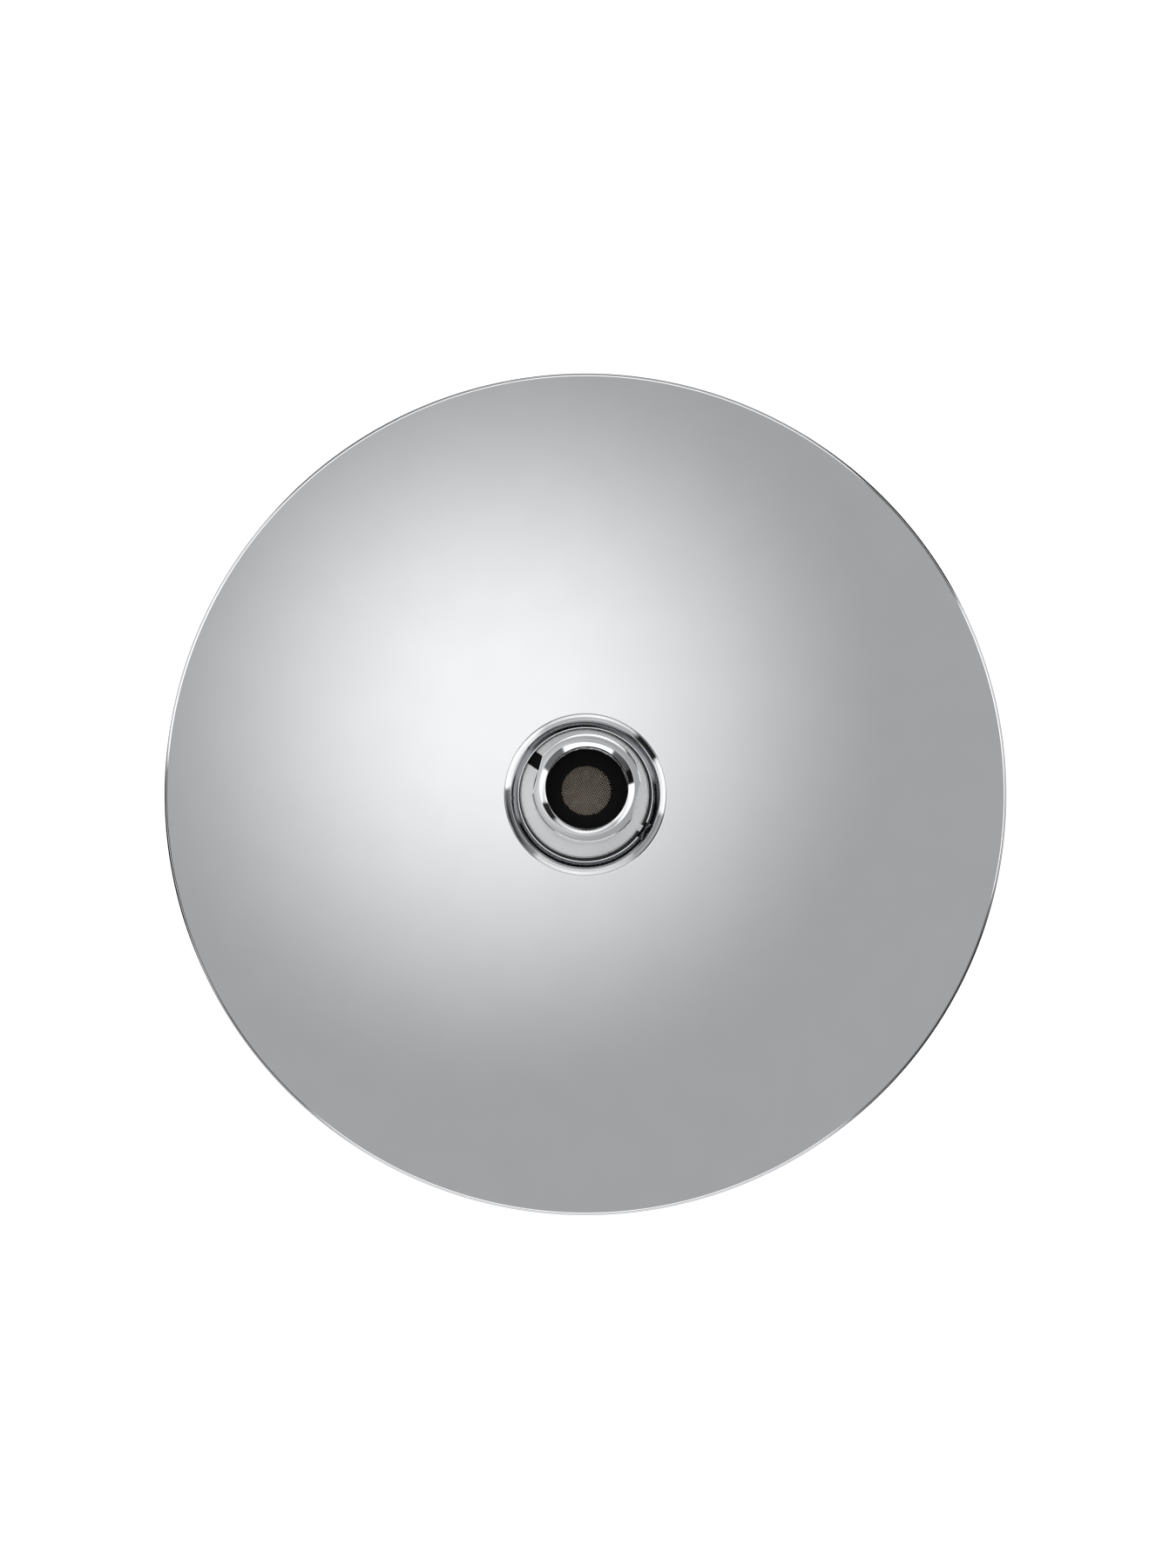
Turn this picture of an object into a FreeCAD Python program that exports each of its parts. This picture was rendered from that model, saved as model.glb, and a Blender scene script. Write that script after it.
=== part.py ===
import FreeCAD, Part
import math
import os
import re

import Sketcher

# Round rain shower head, seen from its inlet side: a domed shell, a spray face below it, and a ball
# swivel on top. Millimetres, +Z up through the swivel, z = 0 at the nozzle tips, +Y to the photo's top.

os.makedirs("parts", exist_ok=True)
doc = FreeCAD.newDocument("rain_shower_head")
vector = FreeCAD.Vector

# Driving dimensions, in millimetres and degrees. Heights are above the nozzle tips.
sizes = {
    # shell
    "disc_diameter": 200.0,
    "edge_drop": 0.4,
    "rim_room": 1.5,
    "rim_round": 1.2,
    "edge_round": 0.7,
    "dome_rise": 16.0,
    "shell_wall": 2.2,
    "well_wall": 2.6,
    "well_floor": 2.3,
    "inlet_radius": 8.5,
    "land_margin": 0.25,
    "boss_wall": 1.95,
    # spray face and nozzles
    "nozzle_reach": 2.6,
    "face_wall": 2.0,
    "face_play": 0.3,
    "skirt_wall": 1.6,
    "skirt_rise": 4.2,
    "snap_depth": 0.25,
    "snap_ramp": 0.5,
    "snap_rise": 1.6,
    "nozzle_root": 2.1,
    "nozzle_tip": 1.5,
    "nozzle_bore": 0.6,
    "nozzle_play": 0.25,
    "mat_wall": 1.4,
    "mat_play": 0.6,
    "row_pitch": 17.0,
    "row_margin": 5.0,
    "row_step_count": 6,
    # water chamber
    "chamber_wall": 1.8,
    "chamber_gap": 0.4,
    "chamber_rim_wall": 2.6,
    "seal_width": 1.9,
    "seal_rise": 2.0,
    "seal_squeeze": 0.05,
    "seal_land_gap": 0.8,
    "spigot_play": 0.3,
    "spigot_bore": 6.0,
    "spigot_drop": 0.4,
    "spigot_groove": 1.2,
    "inlet_seal_rise": 1.0,
    "screw_circle": 60.0,
    "screw_count": 6,
    "screw_radius": 1.45,
    "screw_length": 8.0,
    "screw_head_radius": 2.8,
    "screw_head_rise": 1.4,
    "screw_seal_wall": 0.6,
    "screw_play": 0.25,
    "drive_length": 3.4,
    "drive_width": 0.7,
    "drive_depth": 0.7,
    "press_play": 0.05,
    "spreader_radius": 13.0,
    "spreader_wall": 0.8,
    "spreader_drop": 1.3,
    "spreader_room": 0.9,
    "spreader_circle": 9.5,
    "spreader_post": 1.5,
    "spreader_pin": 0.8,
    "spreader_pin_rise": 1.2,
    "spreader_count": 3,
    # swivel, heights above the ball's centre and drops below it
    "ball_play": 0.15,
    "mouth_gap": 0.8,
    "seat_depth": 9.8,
    "seat_foot": 1.0,
    "seat_radius": 15.8,
    "seat_wall": 3.8,
    "seat_play": 0.3,
    "seat_top_drop": 0.2,
    "seat_washer_wall": 1.7,
    "ball_seal_drop": 4.0,
    "ball_seal_rise": 2.0,
    "ball_seal_wall": 1.1,
    "ball_seal_play": 0.1,
    "collar_overhang": 1.25,
    "collar_top": 7.0,
    "collar_round": 0.7,
    "collar_shoulder": 1.55,
    "collar_fall": 1.0,
    "collar_skirt_wall": 1.2,
    "collar_skirt_play": 0.2,
    "collar_skirt_drop": 6.0,
    "lip_width": 0.8,
    "lip_top": 5.5,
    "lip_under": 3.2,
    "key_notch_width": 4.0,
    "key_notch_depth": 0.55,
    "ring_top": 4.2,
    "ring_lip_gap": 0.1,
    "ring_bottom": 0.2,
    "ring_side_gap": 0.62,
    "ring_flange_gap": 0.5,
    "ring_play": 0.5,
    "ring_shift": 0.35,
    "ring_shift_azimuth": 127.0,
    "slot_width": 3.35,
    "slot_azimuth": 145.6,
    "key_width": 1.7,
    "key_reach": 0.85,
    "key_azimuth": 328.4,
    # connector, heights above the ball's centre
    "neck_radius": 9.3,
    "shoulder_rise": 1.2,
    "floor_wall": 0.8,
    "thread_radius": 9.315,
    "thread_length": 6.9,
    "entry_land": 0.8,
    "entry_depth": 0.8,
    "flats_across": 23.0,
    "flats_azimuth": 165.0,
    "flats_depth": 0.86,
    "flange_edge": 0.35,
    "crown_drop": 0.4,
    "waterway_radius": 5.0,
    "relief_depth": 0.335,
    "relief_gap": 0.4,
    "washer_play": 0.15,
    "washer_bore": 5.65,
    "washer_wall": 2.3,
    "mesh_seat": 0.75,
    "mesh_wall": 0.3,
    "mesh_height": 1.15,
    "mesh_play": 0.04,
    "regulator_radius": 6.75,
    "regulator_play": 0.15,
    "regulator_gap": 0.4,
    "regulator_rise": 3.6,
    "regulator_floor": 1.2,
    "regulator_wall": 1.1,
    "regulator_core": 2.2,
    "regulator_sink": 0.6,
    "regulator_slots": 8,
    "regulator_slot_width": 1.1,
    "tilt": 5.0,
    "tilt_azimuth": 78.0,
}

# Sides of the small straight-sided shapes that repeat across the spray face
nozzle_sides = 10
hole_sides = 8
bore_sides = 6

# How near an edge lies to the place that names it
same_place = 1e-4

sheet = doc.addObject("Spreadsheet::Sheet", "Sizes")
for row, (alias, number) in enumerate(sizes.items(), start=1):
    sheet.set(f"A{row}", alias)
    sheet.set(f"B{row}", str(number))
    sheet.setAlias(f"B{row}", alias)
doc.recompute()


def cells(formula):
    """The formula with each dimension's name turned into a reference to its cell."""
    return re.sub(r"\b([a-z]+(?:_[a-z]+)+|tilt)\b", r"Sizes.\1", str(formula))


def value(formula):
    """The formula's present value."""
    return float(sheet.evalExpression(cells(formula)))


# Derived places, each a formula of the driving dimensions. Heights stack up from the nozzle tips: the
# face, the mat, the room for the spreader, the chamber plate, the well's floor, the seat and the ball.
edge_height = "(nozzle_reach - edge_drop)"
face_top = "(nozzle_reach + face_wall)"
mat_top = f"({face_top} + mat_wall)"
plate_bottom = f"({mat_top} + spreader_room + spreader_wall + spreader_drop)"
plate_top = f"({plate_bottom} + chamber_wall)"
floor_bottom = f"({plate_top} + chamber_gap)"
floor_top = f"({floor_bottom} + well_floor)"
seat_bottom = f"({floor_top} + seat_washer_wall)"
ball_height = f"({seat_bottom} + seat_depth)"

# The seat sets the ball inside it, the collar and its ring, and the collar sets the shell's well
ball_radius = "(seat_radius - seat_wall)"
collar_bore = "(seat_radius + seat_play)"
skirt_radius = f"({collar_bore} + collar_skirt_wall)"
well_radius = f"({skirt_radius} + collar_skirt_play)"
collar_radius = f"({well_radius} + collar_overhang)"
bevel_radius = f"({collar_radius} - collar_shoulder)"
lip_radius = f"({collar_bore} - lip_width)"
ring_radius = f"({lip_radius} - ring_side_gap)"
ring_flange_radius = f"({collar_bore} - ring_flange_gap)"

# Shell and spray face
disc_radius = "(disc_diameter / 2)"
dome_radius = f"(({disc_radius} ^ 2 + dome_rise ^ 2) / (2 * dome_rise))"
dome_centre = f"({plate_top} + rim_room + dome_rise - {dome_radius})"
rim_centre = f"({disc_radius} - rim_round)"
rim_centre_height = f"({dome_centre} + sqrt(({dome_radius} - rim_round) ^ 2 - {rim_centre} ^ 2))"
rim_tangent = f"({rim_centre} * {dome_radius} / ({dome_radius} - rim_round))"
land_radius = f"({collar_radius} + land_margin)"
land_height = f"({dome_centre} + sqrt({dome_radius} ^ 2 - {land_radius} ^ 2))"
inner_radius = f"({disc_radius} - shell_wall)"
inner_dome_radius = f"({dome_radius} - shell_wall)"
well_outside = f"({well_radius} + well_wall)"
face_radius = f"({inner_radius} - face_play)"
skirt_inside = f"({face_radius} - skirt_wall)"
snap_height = f"({face_top} + skirt_rise - snap_rise)"
rim_outside = f"({skirt_inside} - seal_land_gap)"
rim_inside = f"({rim_outside} - chamber_rim_wall)"
mat_radius = f"({rim_inside} - mat_play)"
row_count = f"floor(({mat_radius} - row_margin) / row_pitch)"
seal_middle = f"({face_top} + seal_rise)"
spigot_radius = "(inlet_radius - spigot_play)"
spigot_middle = f"(({floor_top} + {floor_bottom}) / 2)"

# Connector, heights above the ball's centre
neck_height = f"sqrt({ball_radius} ^ 2 - neck_radius ^ 2)"
shoulder_height = f"({neck_height} + shoulder_rise)"
socket_floor = f"({shoulder_height} + floor_wall)"
relief_top = f"({socket_floor} + washer_wall + relief_gap)"
entry_radius = "(flats_across / 2 - entry_land)"
connector_top = f"({relief_top} + thread_length + entry_depth)"
pocket_floor = f"({socket_floor} - regulator_rise - regulator_gap)"
pocket_radius = "(regulator_radius + regulator_play)"
relief_radius = "(thread_radius + relief_depth)"
flange_radius = "(flats_across / 2 + flats_depth)"
mesh_radius = "(washer_bore + mesh_seat)"


def inner_dome_height(radius):
    """Height of the shell's inner surface at a radius."""
    return f"({dome_centre} + sqrt({inner_dome_radius} ^ 2 - ({radius}) ^ 2))"


def above_ball(height):
    """Height above the ball's centre, as a height above the nozzle tips."""
    return f"({ball_height} + ({height}))"


def on_ball(drop, proud="0"):
    """Radius about Z of the ball's surface, or of one just outside it, at a drop below its centre."""
    return f"sqrt(({ball_radius} + {proud}) ^ 2 - ({drop}) ^ 2)"


def new_body(label):
    """An empty body with its own label."""
    body = doc.addObject("PartDesign::Body", label)
    body.Label = label
    return body


def origin_feature(body, role):
    """One of the body's own origin planes or axes."""
    return next(item for item in body.Origin.OriginFeatures if item.Role == role)


def new_sketch(body, name, role="XY_Plane", height=None, azimuth=None):
    """A sketch on an origin plane; on the XY plane it may be raised and turned about Z."""
    sketch = body.newObject("Sketcher::SketchObject", name)
    sketch.AttachmentSupport = [(origin_feature(body, role), "")]
    sketch.MapMode = "FlatFace"
    if height is not None:
        sketch.setExpression("AttachmentOffset.Base.z", cells(height))
    if azimuth is not None:
        sketch.AttachmentOffset = FreeCAD.Placement(vector(), FreeCAD.Rotation(vector(0, 0, 1), 1))
        sketch.setExpression("AttachmentOffset.Rotation.Angle", cells(azimuth))
    return sketch


def constrain(sketch, kind, *what):
    """Adds one constraint, whose last item may be a formula."""
    if isinstance(what[-1], str):
        index = sketch.addConstraint(Sketcher.Constraint(kind, *what[:-1], value(what[-1])))
        sketch.setExpression(f"Constraints[{index}]", cells(what[-1]))
    else:
        sketch.addConstraint(Sketcher.Constraint(kind, *what))


def pin_point(sketch, item, end, across, up):
    """Places one end of a line or arc by formulas; None leaves that direction free."""
    for kind, axis, formula in (("DistanceX", -2, across), ("DistanceY", -1, up)):
        if formula is None:
            continue
        if value(formula) == 0:
            constrain(sketch, "PointOnObject", item, end, axis)
        else:
            constrain(sketch, kind, -1, 1, item, end, formula)


def draw_outline(sketch, corners):
    """A closed outline. A corner is (r, z). An arc is ("ccw" or "cw", centre, end, side): it starts at
    the corner before it, and its end gives only r or only z, on that side of the centre."""
    here = (value(corners[0][0]), value(corners[0][1]))
    pieces, bound = [], corners[0]
    for corner in corners[1:] + [corners[0]]:
        if corner[0] in ("ccw", "cw"):
            turn, centre, end, side = corner
            middle = (value(centre[0]), value(centre[1]))
            radius = math.dist(here, middle)
            if end[1] is None:
                across = value(end[0])
                there = (across, middle[1] + side * math.sqrt(radius ** 2 - (across - middle[0]) ** 2))
            else:
                up = value(end[1])
                there = (middle[0] + side * math.sqrt(radius ** 2 - (up - middle[1]) ** 2), up)
            pieces.append((turn, here, there, bound, middle, centre))
        else:
            end = corner
            there = (value(end[0]), value(end[1]))
            pieces.append(("line", here, there, bound, None, None))
        here, bound = there, end
    ends = []
    for kind, start, stop, bound, middle, centre in pieces:
        first, last = vector(*start, 0), vector(*stop, 0)
        if kind == "line":
            item = sketch.addGeometry(Part.LineSegment(first, last))
            ends.append((item, 1, 2))
        else:
            hub = vector(*middle, 0)
            angles = [math.atan2(p.y - hub.y, p.x - hub.x) for p in (first, last)]
            if kind == "cw":
                angles.reverse()
            circle = Part.Circle(hub, vector(0, 0, 1), (first - hub).Length)
            item = sketch.addGeometry(Part.ArcOfCircle(circle, angles[0], angles[1]))
            ends.append((item, 1, 2) if kind == "ccw" else (item, 2, 1))
    for (item, _, stop), (other, start, _) in zip(ends, ends[1:] + ends[:1]):
        constrain(sketch, "Coincident", item, stop, other, start)
    for (item, start, _), (kind, _, _, bound, _, centre) in zip(ends, pieces):
        pin_point(sketch, item, start, *bound)
        if kind != "line":
            pin_point(sketch, item, 3, *centre)


def turned(label, corners):
    """A body turned about Z from its half section."""
    body = new_body(label)
    sketch = new_sketch(body, label + "_section", "XZ_Plane")
    draw_outline(sketch, corners)
    turning = body.newObject("PartDesign::Revolution", label + "_turned")
    turning.Profile = sketch
    turning.ReferenceAxis = (sketch, ["V_Axis"])
    turning.Angle = 360
    doc.recompute()
    return body


def circle_sketch(body, name, across, radius, **place):
    """A circle on the sketch's X axis."""
    sketch = new_sketch(body, name, **place)
    circle = Part.Circle(vector(value(across), 0, 0), vector(0, 0, 1), value(radius))
    item = sketch.addGeometry(circle)
    pin_point(sketch, item, 3, across, "0")
    constrain(sketch, "Radius", item, radius)
    return sketch


def bar_sketch(body, name, near, far, width, **place):
    """A rectangle from near to far along the sketch's X axis, centred across it."""
    sketch = new_sketch(body, name, **place)
    left, right, half = value(near), value(far), value(width) / 2
    corners = [vector(left, -half, 0), vector(right, -half, 0), vector(right, half, 0), vector(left, half, 0)]
    for first, last in zip(corners, corners[1:] + corners[:1]):
        sketch.addGeometry(Part.LineSegment(first, last))
    for side in range(4):
        constrain(sketch, "Coincident", side, 2, (side + 1) % 4, 1)
    for side, kind in ((0, "Horizontal"), (2, "Horizontal"), (3, "Vertical")):
        constrain(sketch, kind, side)
    constrain(sketch, "Symmetric", 1, 1, 1, 2, -1)
    constrain(sketch, "DistanceY", 1, 1, 1, 2, width)
    pin_point(sketch, 0, 1, near, None)
    pin_point(sketch, 1, 1, far, None)
    return sketch


def raise_pad(body, sketch, length, down=False, taper=None):
    """Adds the sketch's shape upwards, or downwards, from its plane."""
    pad = body.newObject("PartDesign::Pad", sketch.Name + "_pad")
    pad.Profile = sketch
    pad.Reversed = down
    pad.setExpression("Length", cells(length))
    if taper:
        pad.setExpression("TaperAngle", cells(taper))
    doc.recompute()
    return pad


def cut_pocket(body, sketch, length, up=False):
    """Cuts the sketch's shape downwards, or upwards, from its plane."""
    before = body.Shape.Volume
    pocket = body.newObject("PartDesign::Pocket", sketch.Name + "_pocket")
    pocket.Profile = sketch
    pocket.Reversed = up
    pocket.setExpression("Length", cells(length))
    doc.recompute()
    if not pocket.Shape.Volume < before:
        raise RuntimeError(f"{pocket.Name} cuts nothing")
    return pocket


def around(body, features, count):
    """Repeats the features evenly about Z."""
    pattern = body.newObject("PartDesign::PolarPattern", features[0].Name + "_around")
    pattern.Originals = features
    pattern.Axis = (origin_feature(body, "Z_Axis"), [""])
    pattern.Angle = 360
    pattern.setExpression("Occurrences", cells(count))
    body.Tip = pattern
    doc.recompute()
    return pattern


def round_edge(body, radius, height, size):
    """Rounds the circular edge at a radius and height."""
    wanted = (value(radius), value(height))
    names = [
        f"Edge{index}"
        for index, edge in enumerate(body.Shape.Edges, start=1)
        if isinstance(edge.Curve, Part.Circle)
        and math.dist((edge.Curve.Radius, edge.Curve.Center.z), wanted) < same_place
    ]
    base = body.Tip
    fillet = body.newObject("PartDesign::Fillet", f"{body.Name}_round_{len(body.Group)}")
    fillet.Base = (base, names)
    fillet.setExpression("Radius", cells(size))
    body.Tip = fillet
    doc.recompute()
    return fillet


def nozzle_places():
    """Where each nozzle stands: rings of six, twelve, eighteen and so on."""
    for ring in range(1, int(value(row_count)) + 1):
        count = int(value("row_step_count")) * ring
        for step in range(count):
            turn = FreeCAD.Rotation(vector(0, 0, 1), 360 * step / count)
            yield FreeCAD.Placement(turn.multVec(vector(value("row_pitch") * ring, 0, 0)), turn)


def at_each_nozzle(low, low_radius, high, high_radius, sides):
    """The same straight-sided taper, with few sides, at every nozzle's place."""
    ends = []
    for height, radius in ((low, low_radius), (high, high_radius)):
        turns = [2 * math.pi * side / sides for side in range(sides + 1)]
        ends.append(Part.makePolygon([
            vector(value(radius) * math.cos(turn), value(radius) * math.sin(turn), value(height))
            for turn in turns
        ]))
    taper = Part.makeLoft(ends, True, True)
    copies = []
    for place in nozzle_places():
        copy = taper.copy()
        copy.Placement = place
        copies.append(copy)
    return copies


def finished(label, shape):
    """A part made from joined or cut shapes."""
    feature = doc.addObject("Part::Feature", label)
    feature.Label = label
    feature.Shape = shape
    return feature


# Shell: one moulding with the dome, the side wall, the swivel's well and the screw bosses
def make_back_shell():
    body = turned("back_shell", [
        (disc_radius, edge_height),
        (disc_radius, rim_centre_height),
        ("ccw", (rim_centre, rim_centre_height), (rim_tangent, None), 1),
        ("ccw", ("0", dome_centre), (land_radius, None), 1),
        (well_radius, land_height),
        (well_radius, floor_top),
        ("inlet_radius", floor_top),
        ("inlet_radius", floor_bottom),
        (well_outside, floor_bottom),
        (well_outside, inner_dome_height(well_outside)),
        ("cw", ("0", dome_centre), (inner_radius, None), 1),
        (inner_radius, f"{snap_height} + snap_ramp"),
        (f"{inner_radius} + snap_depth", snap_height),
        (inner_radius, f"{snap_height} - snap_ramp"),
        (inner_radius, edge_height),
    ])
    # Each boss runs up into the middle of the shell's wall
    boss_top = f"({inner_dome_height('screw_circle')} + shell_wall / 2)"
    sketch = circle_sketch(body, "boss", "screw_circle", "screw_radius + boss_wall", height=plate_top)
    boss = raise_pad(body, sketch, f"{boss_top} - {plate_top}")
    sketch = circle_sketch(body, "pilot", "screw_circle", "screw_radius", height=plate_top)
    pilot = cut_pocket(body, sketch, "screw_length", up=True)
    around(body, [boss, pilot], "screw_count")
    round_edge(body, disc_radius, edge_height, "edge_round")
    return body


# Spray face: a flat plate with a skirt whose bead snaps into the shell's wall
def make_face_plate():
    blank = turned("face_blank", [
        ("0", "nozzle_reach"),
        (face_radius, "nozzle_reach"),
        (face_radius, f"{snap_height} - snap_ramp"),
        (f"{face_radius} + snap_depth", snap_height),
        (face_radius, f"{snap_height} + snap_ramp"),
        (face_radius, f"{face_top} + skirt_rise"),
        (skirt_inside, f"{face_top} + skirt_rise"),
        (skirt_inside, face_top),
        ("0", face_top),
    ])
    hole_radius = "nozzle_root + nozzle_play"
    holes = at_each_nozzle("nozzle_reach", hole_radius, face_top, hole_radius, hole_sides)
    return finished("face_plate", blank.Shape.cut(holes))


# Nozzle mat: one silicone sheet on the spray face, with a tapered nozzle through each hole
def make_nozzle_mat():
    blank = turned("mat_blank", [
        ("0", face_top),
        (mat_radius, face_top),
        (mat_radius, mat_top),
        ("0", mat_top),
    ])
    nozzles = at_each_nozzle("0", "nozzle_tip", face_top, "nozzle_root", nozzle_sides)
    bores = at_each_nozzle("0", "nozzle_bore", mat_top, "nozzle_bore", bore_sides)
    return finished("nozzle_mat", blank.Shape.fuse(nozzles).cut(bores))


# Chamber plate: closes the water chamber, with a rim that holds the ring seal and a spigot for the inlet
def make_chamber_plate():
    groove_inside = f"({skirt_inside} - seal_width)"
    groove_low = f"({seal_middle} - seal_rise / 2)"
    groove_high = f"({seal_middle} + seal_rise / 2)"
    spigot_top = f"({floor_top} - spigot_drop)"
    spigot_neck = f"({spigot_radius} - spigot_groove)"
    ring_low = f"({spigot_middle} - inlet_seal_rise / 2)"
    ring_high = f"({spigot_middle} + inlet_seal_rise / 2)"
    body = turned("chamber_plate", [
        ("spigot_bore", plate_bottom),
        (rim_inside, plate_bottom),
        (rim_inside, f"{face_top} + face_play"),
        (rim_outside, f"{face_top} + face_play"),
        (rim_outside, groove_low),
        (groove_inside, groove_low),
        (groove_inside, groove_high),
        (rim_outside, groove_high),
        (rim_outside, plate_top),
        (spigot_radius, plate_top),
        (spigot_radius, ring_low),
        (spigot_neck, ring_low),
        (spigot_neck, ring_high),
        (spigot_radius, ring_high),
        (spigot_radius, spigot_top),
        ("spigot_bore", spigot_top),
    ])
    clearance = "screw_radius + screw_play"
    sketch = circle_sketch(body, "screw_hole", "screw_circle", clearance, height=plate_top)
    around(body, [cut_pocket(body, sketch, "chamber_wall")], "screw_count")
    sketch = circle_sketch(body, "pin_hole", "spreader_circle", "spreader_pin + press_play",
                           height=plate_bottom)
    around(body, [cut_pocket(body, sketch, "spreader_pin_rise + press_play", up=True)], "spreader_count")
    return body


def square_ring(label, inside, outside, low, high):
    """A flat ring of rectangular section."""
    return turned(label, [(inside, low), (outside, low), (outside, high), (inside, high)])


# Screws that hold the chamber plate up to the shell, heads down, each with its rubber washer
def make_chamber_screws():
    head_top = f"({plate_bottom} - screw_seal_wall)"
    body = new_body("chamber_screws")
    sketch = circle_sketch(body, "head", "screw_circle", "screw_head_radius", height=head_top)
    head = raise_pad(body, sketch, "screw_head_rise", down=True)
    sketch = circle_sketch(body, "shank", "screw_circle", "screw_radius - press_play", height=head_top)
    shank = raise_pad(body, sketch, "screw_length")
    sketch = bar_sketch(body, "drive", "screw_circle - drive_length / 2", "screw_circle + drive_length / 2",
                        "drive_width", height=f"{head_top} - screw_head_rise")
    drive = cut_pocket(body, sketch, "drive_depth", up=True)
    around(body, [head, shank, drive], "screw_count")
    return body


def make_screw_seals():
    body = new_body("screw_seals")
    sketch = circle_sketch(body, "washer", "screw_circle", "screw_head_radius - screw_play",
                           height=plate_bottom)
    washer = raise_pad(body, sketch, "screw_seal_wall", down=True)
    sketch = circle_sketch(body, "washer_hole", "screw_circle", "screw_radius + press_play",
                           height=plate_bottom)
    hole = cut_pocket(body, sketch, "screw_seal_wall")
    around(body, [washer, hole], "screw_count")
    return body


# Spreader: a disc under the inlet, carried on pins that press into the chamber plate
def make_water_spreader():
    disc_top = f"({plate_bottom} - spreader_drop)"
    body = turned("water_spreader", [
        ("0", f"{disc_top} - spreader_wall"),
        ("spreader_radius", f"{disc_top} - spreader_wall"),
        ("spreader_radius", disc_top),
        ("0", disc_top),
    ])
    sketch = circle_sketch(body, "post", "spreader_circle", "spreader_post", height=disc_top)
    post = raise_pad(body, sketch, "spreader_drop")
    sketch = circle_sketch(body, "pin", "spreader_circle", "spreader_pin", height=plate_bottom)
    pin = raise_pad(body, sketch, "spreader_pin_rise")
    around(body, [post, pin], "spreader_count")
    return body


# Collar: screws into the well; its shoulder falls outward from a ridge and its bevel inward to the lip
# that traps the retaining ring, whose key sits in a notch
def make_collar():
    shoulder_height = above_ball("collar_top - collar_fall")
    body = turned("collar", [
        (collar_radius, land_height),
        (collar_radius, shoulder_height),
        (bevel_radius, above_ball("collar_top")),
        (lip_radius, above_ball("lip_top")),
        (lip_radius, above_ball("lip_under")),
        (collar_bore, above_ball("lip_under")),
        (collar_bore, above_ball("-collar_skirt_drop")),
        (skirt_radius, above_ball("-collar_skirt_drop")),
        (skirt_radius, land_height),
    ])
    sketch = bar_sketch(body, "key_notch", f"{lip_radius} - key_reach", f"{lip_radius} + key_notch_depth",
                        "key_notch_width", height=above_ball("collar_top"), azimuth="key_azimuth")
    cut_pocket(body, sketch, "collar_top - lip_under")
    round_edge(body, collar_radius, shoulder_height, "collar_round")
    return body


# Retaining ring: split acetal ring over the ball, keyed to the collar and loose by a fraction of a millimetre
def make_retaining_ring():
    ring_step = above_ball("lip_under - ring_lip_gap")
    body = turned("retaining_ring", [
        (ring_radius, above_ball("ring_top")),
        (ring_radius, ring_step),
        (ring_flange_radius, ring_step),
        (ring_flange_radius, above_ball("ring_bottom")),
        (on_ball("ring_bottom", "ring_play"), above_ball("ring_bottom")),
        ("ccw", ("0", ball_height), (None, above_ball("ring_top")), 1),
    ])
    sketch = bar_sketch(body, "key", f"{ring_radius} - key_reach", f"{ring_radius} + key_reach", "key_width",
                        height=ring_step, azimuth="key_azimuth")
    raise_pad(body, sketch, "ring_top - lip_under + ring_lip_gap")
    sketch = bar_sketch(body, "slot", "neck_radius", f"{ring_flange_radius} + key_reach", "slot_width",
                        height=above_ball("ring_top"), azimuth="slot_azimuth")
    cut_pocket(body, sketch, "ring_top - ring_bottom")
    body.setExpression("Placement.Base.x", cells("ring_shift * cos(ring_shift_azimuth)"))
    body.setExpression("Placement.Base.y", cells("ring_shift * sin(ring_shift_azimuth)"))
    return body


# Lower seat: the cup that the ball turns in
def make_ball_seat():
    seat_bore = on_ball("seat_depth - seat_foot", "ball_play")
    return turned("ball_seat", [
        (seat_bore, seat_bottom),
        ("seat_radius", seat_bottom),
        ("seat_radius", above_ball("-seat_top_drop")),
        (on_ball("seat_top_drop", "ball_play"), above_ball("-seat_top_drop")),
        ("cw", ("0", ball_height), (seat_bore, None), -1),
    ])


def tilted(body):
    """Tilts a body of the connector about the ball's centre, as the photo shows it."""
    azimuth = math.radians(value("tilt_azimuth"))
    axis = vector(-math.sin(azimuth), math.cos(azimuth), 0)
    turn = FreeCAD.Rotation(axis, value("tilt"))
    body.Placement = FreeCAD.Placement(vector(), turn, vector(0, 0, value(ball_height)))
    return body


# Sealing ring in the ball's groove, with its outer face against the seat
def make_ball_seal():
    low = "ball_seal_drop + ball_seal_rise"
    inside = f"{on_ball(low)} - ball_seal_wall"
    body = turned("ball_seal", [
        (inside, above_ball(f"-({low})")),
        (on_ball(low, "seal_squeeze"), above_ball(f"-({low})")),
        (on_ball("ball_seal_drop", "seal_squeeze"), above_ball("-ball_seal_drop")),
        (inside, above_ball("-ball_seal_drop")),
    ])
    return tilted(body)


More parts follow.
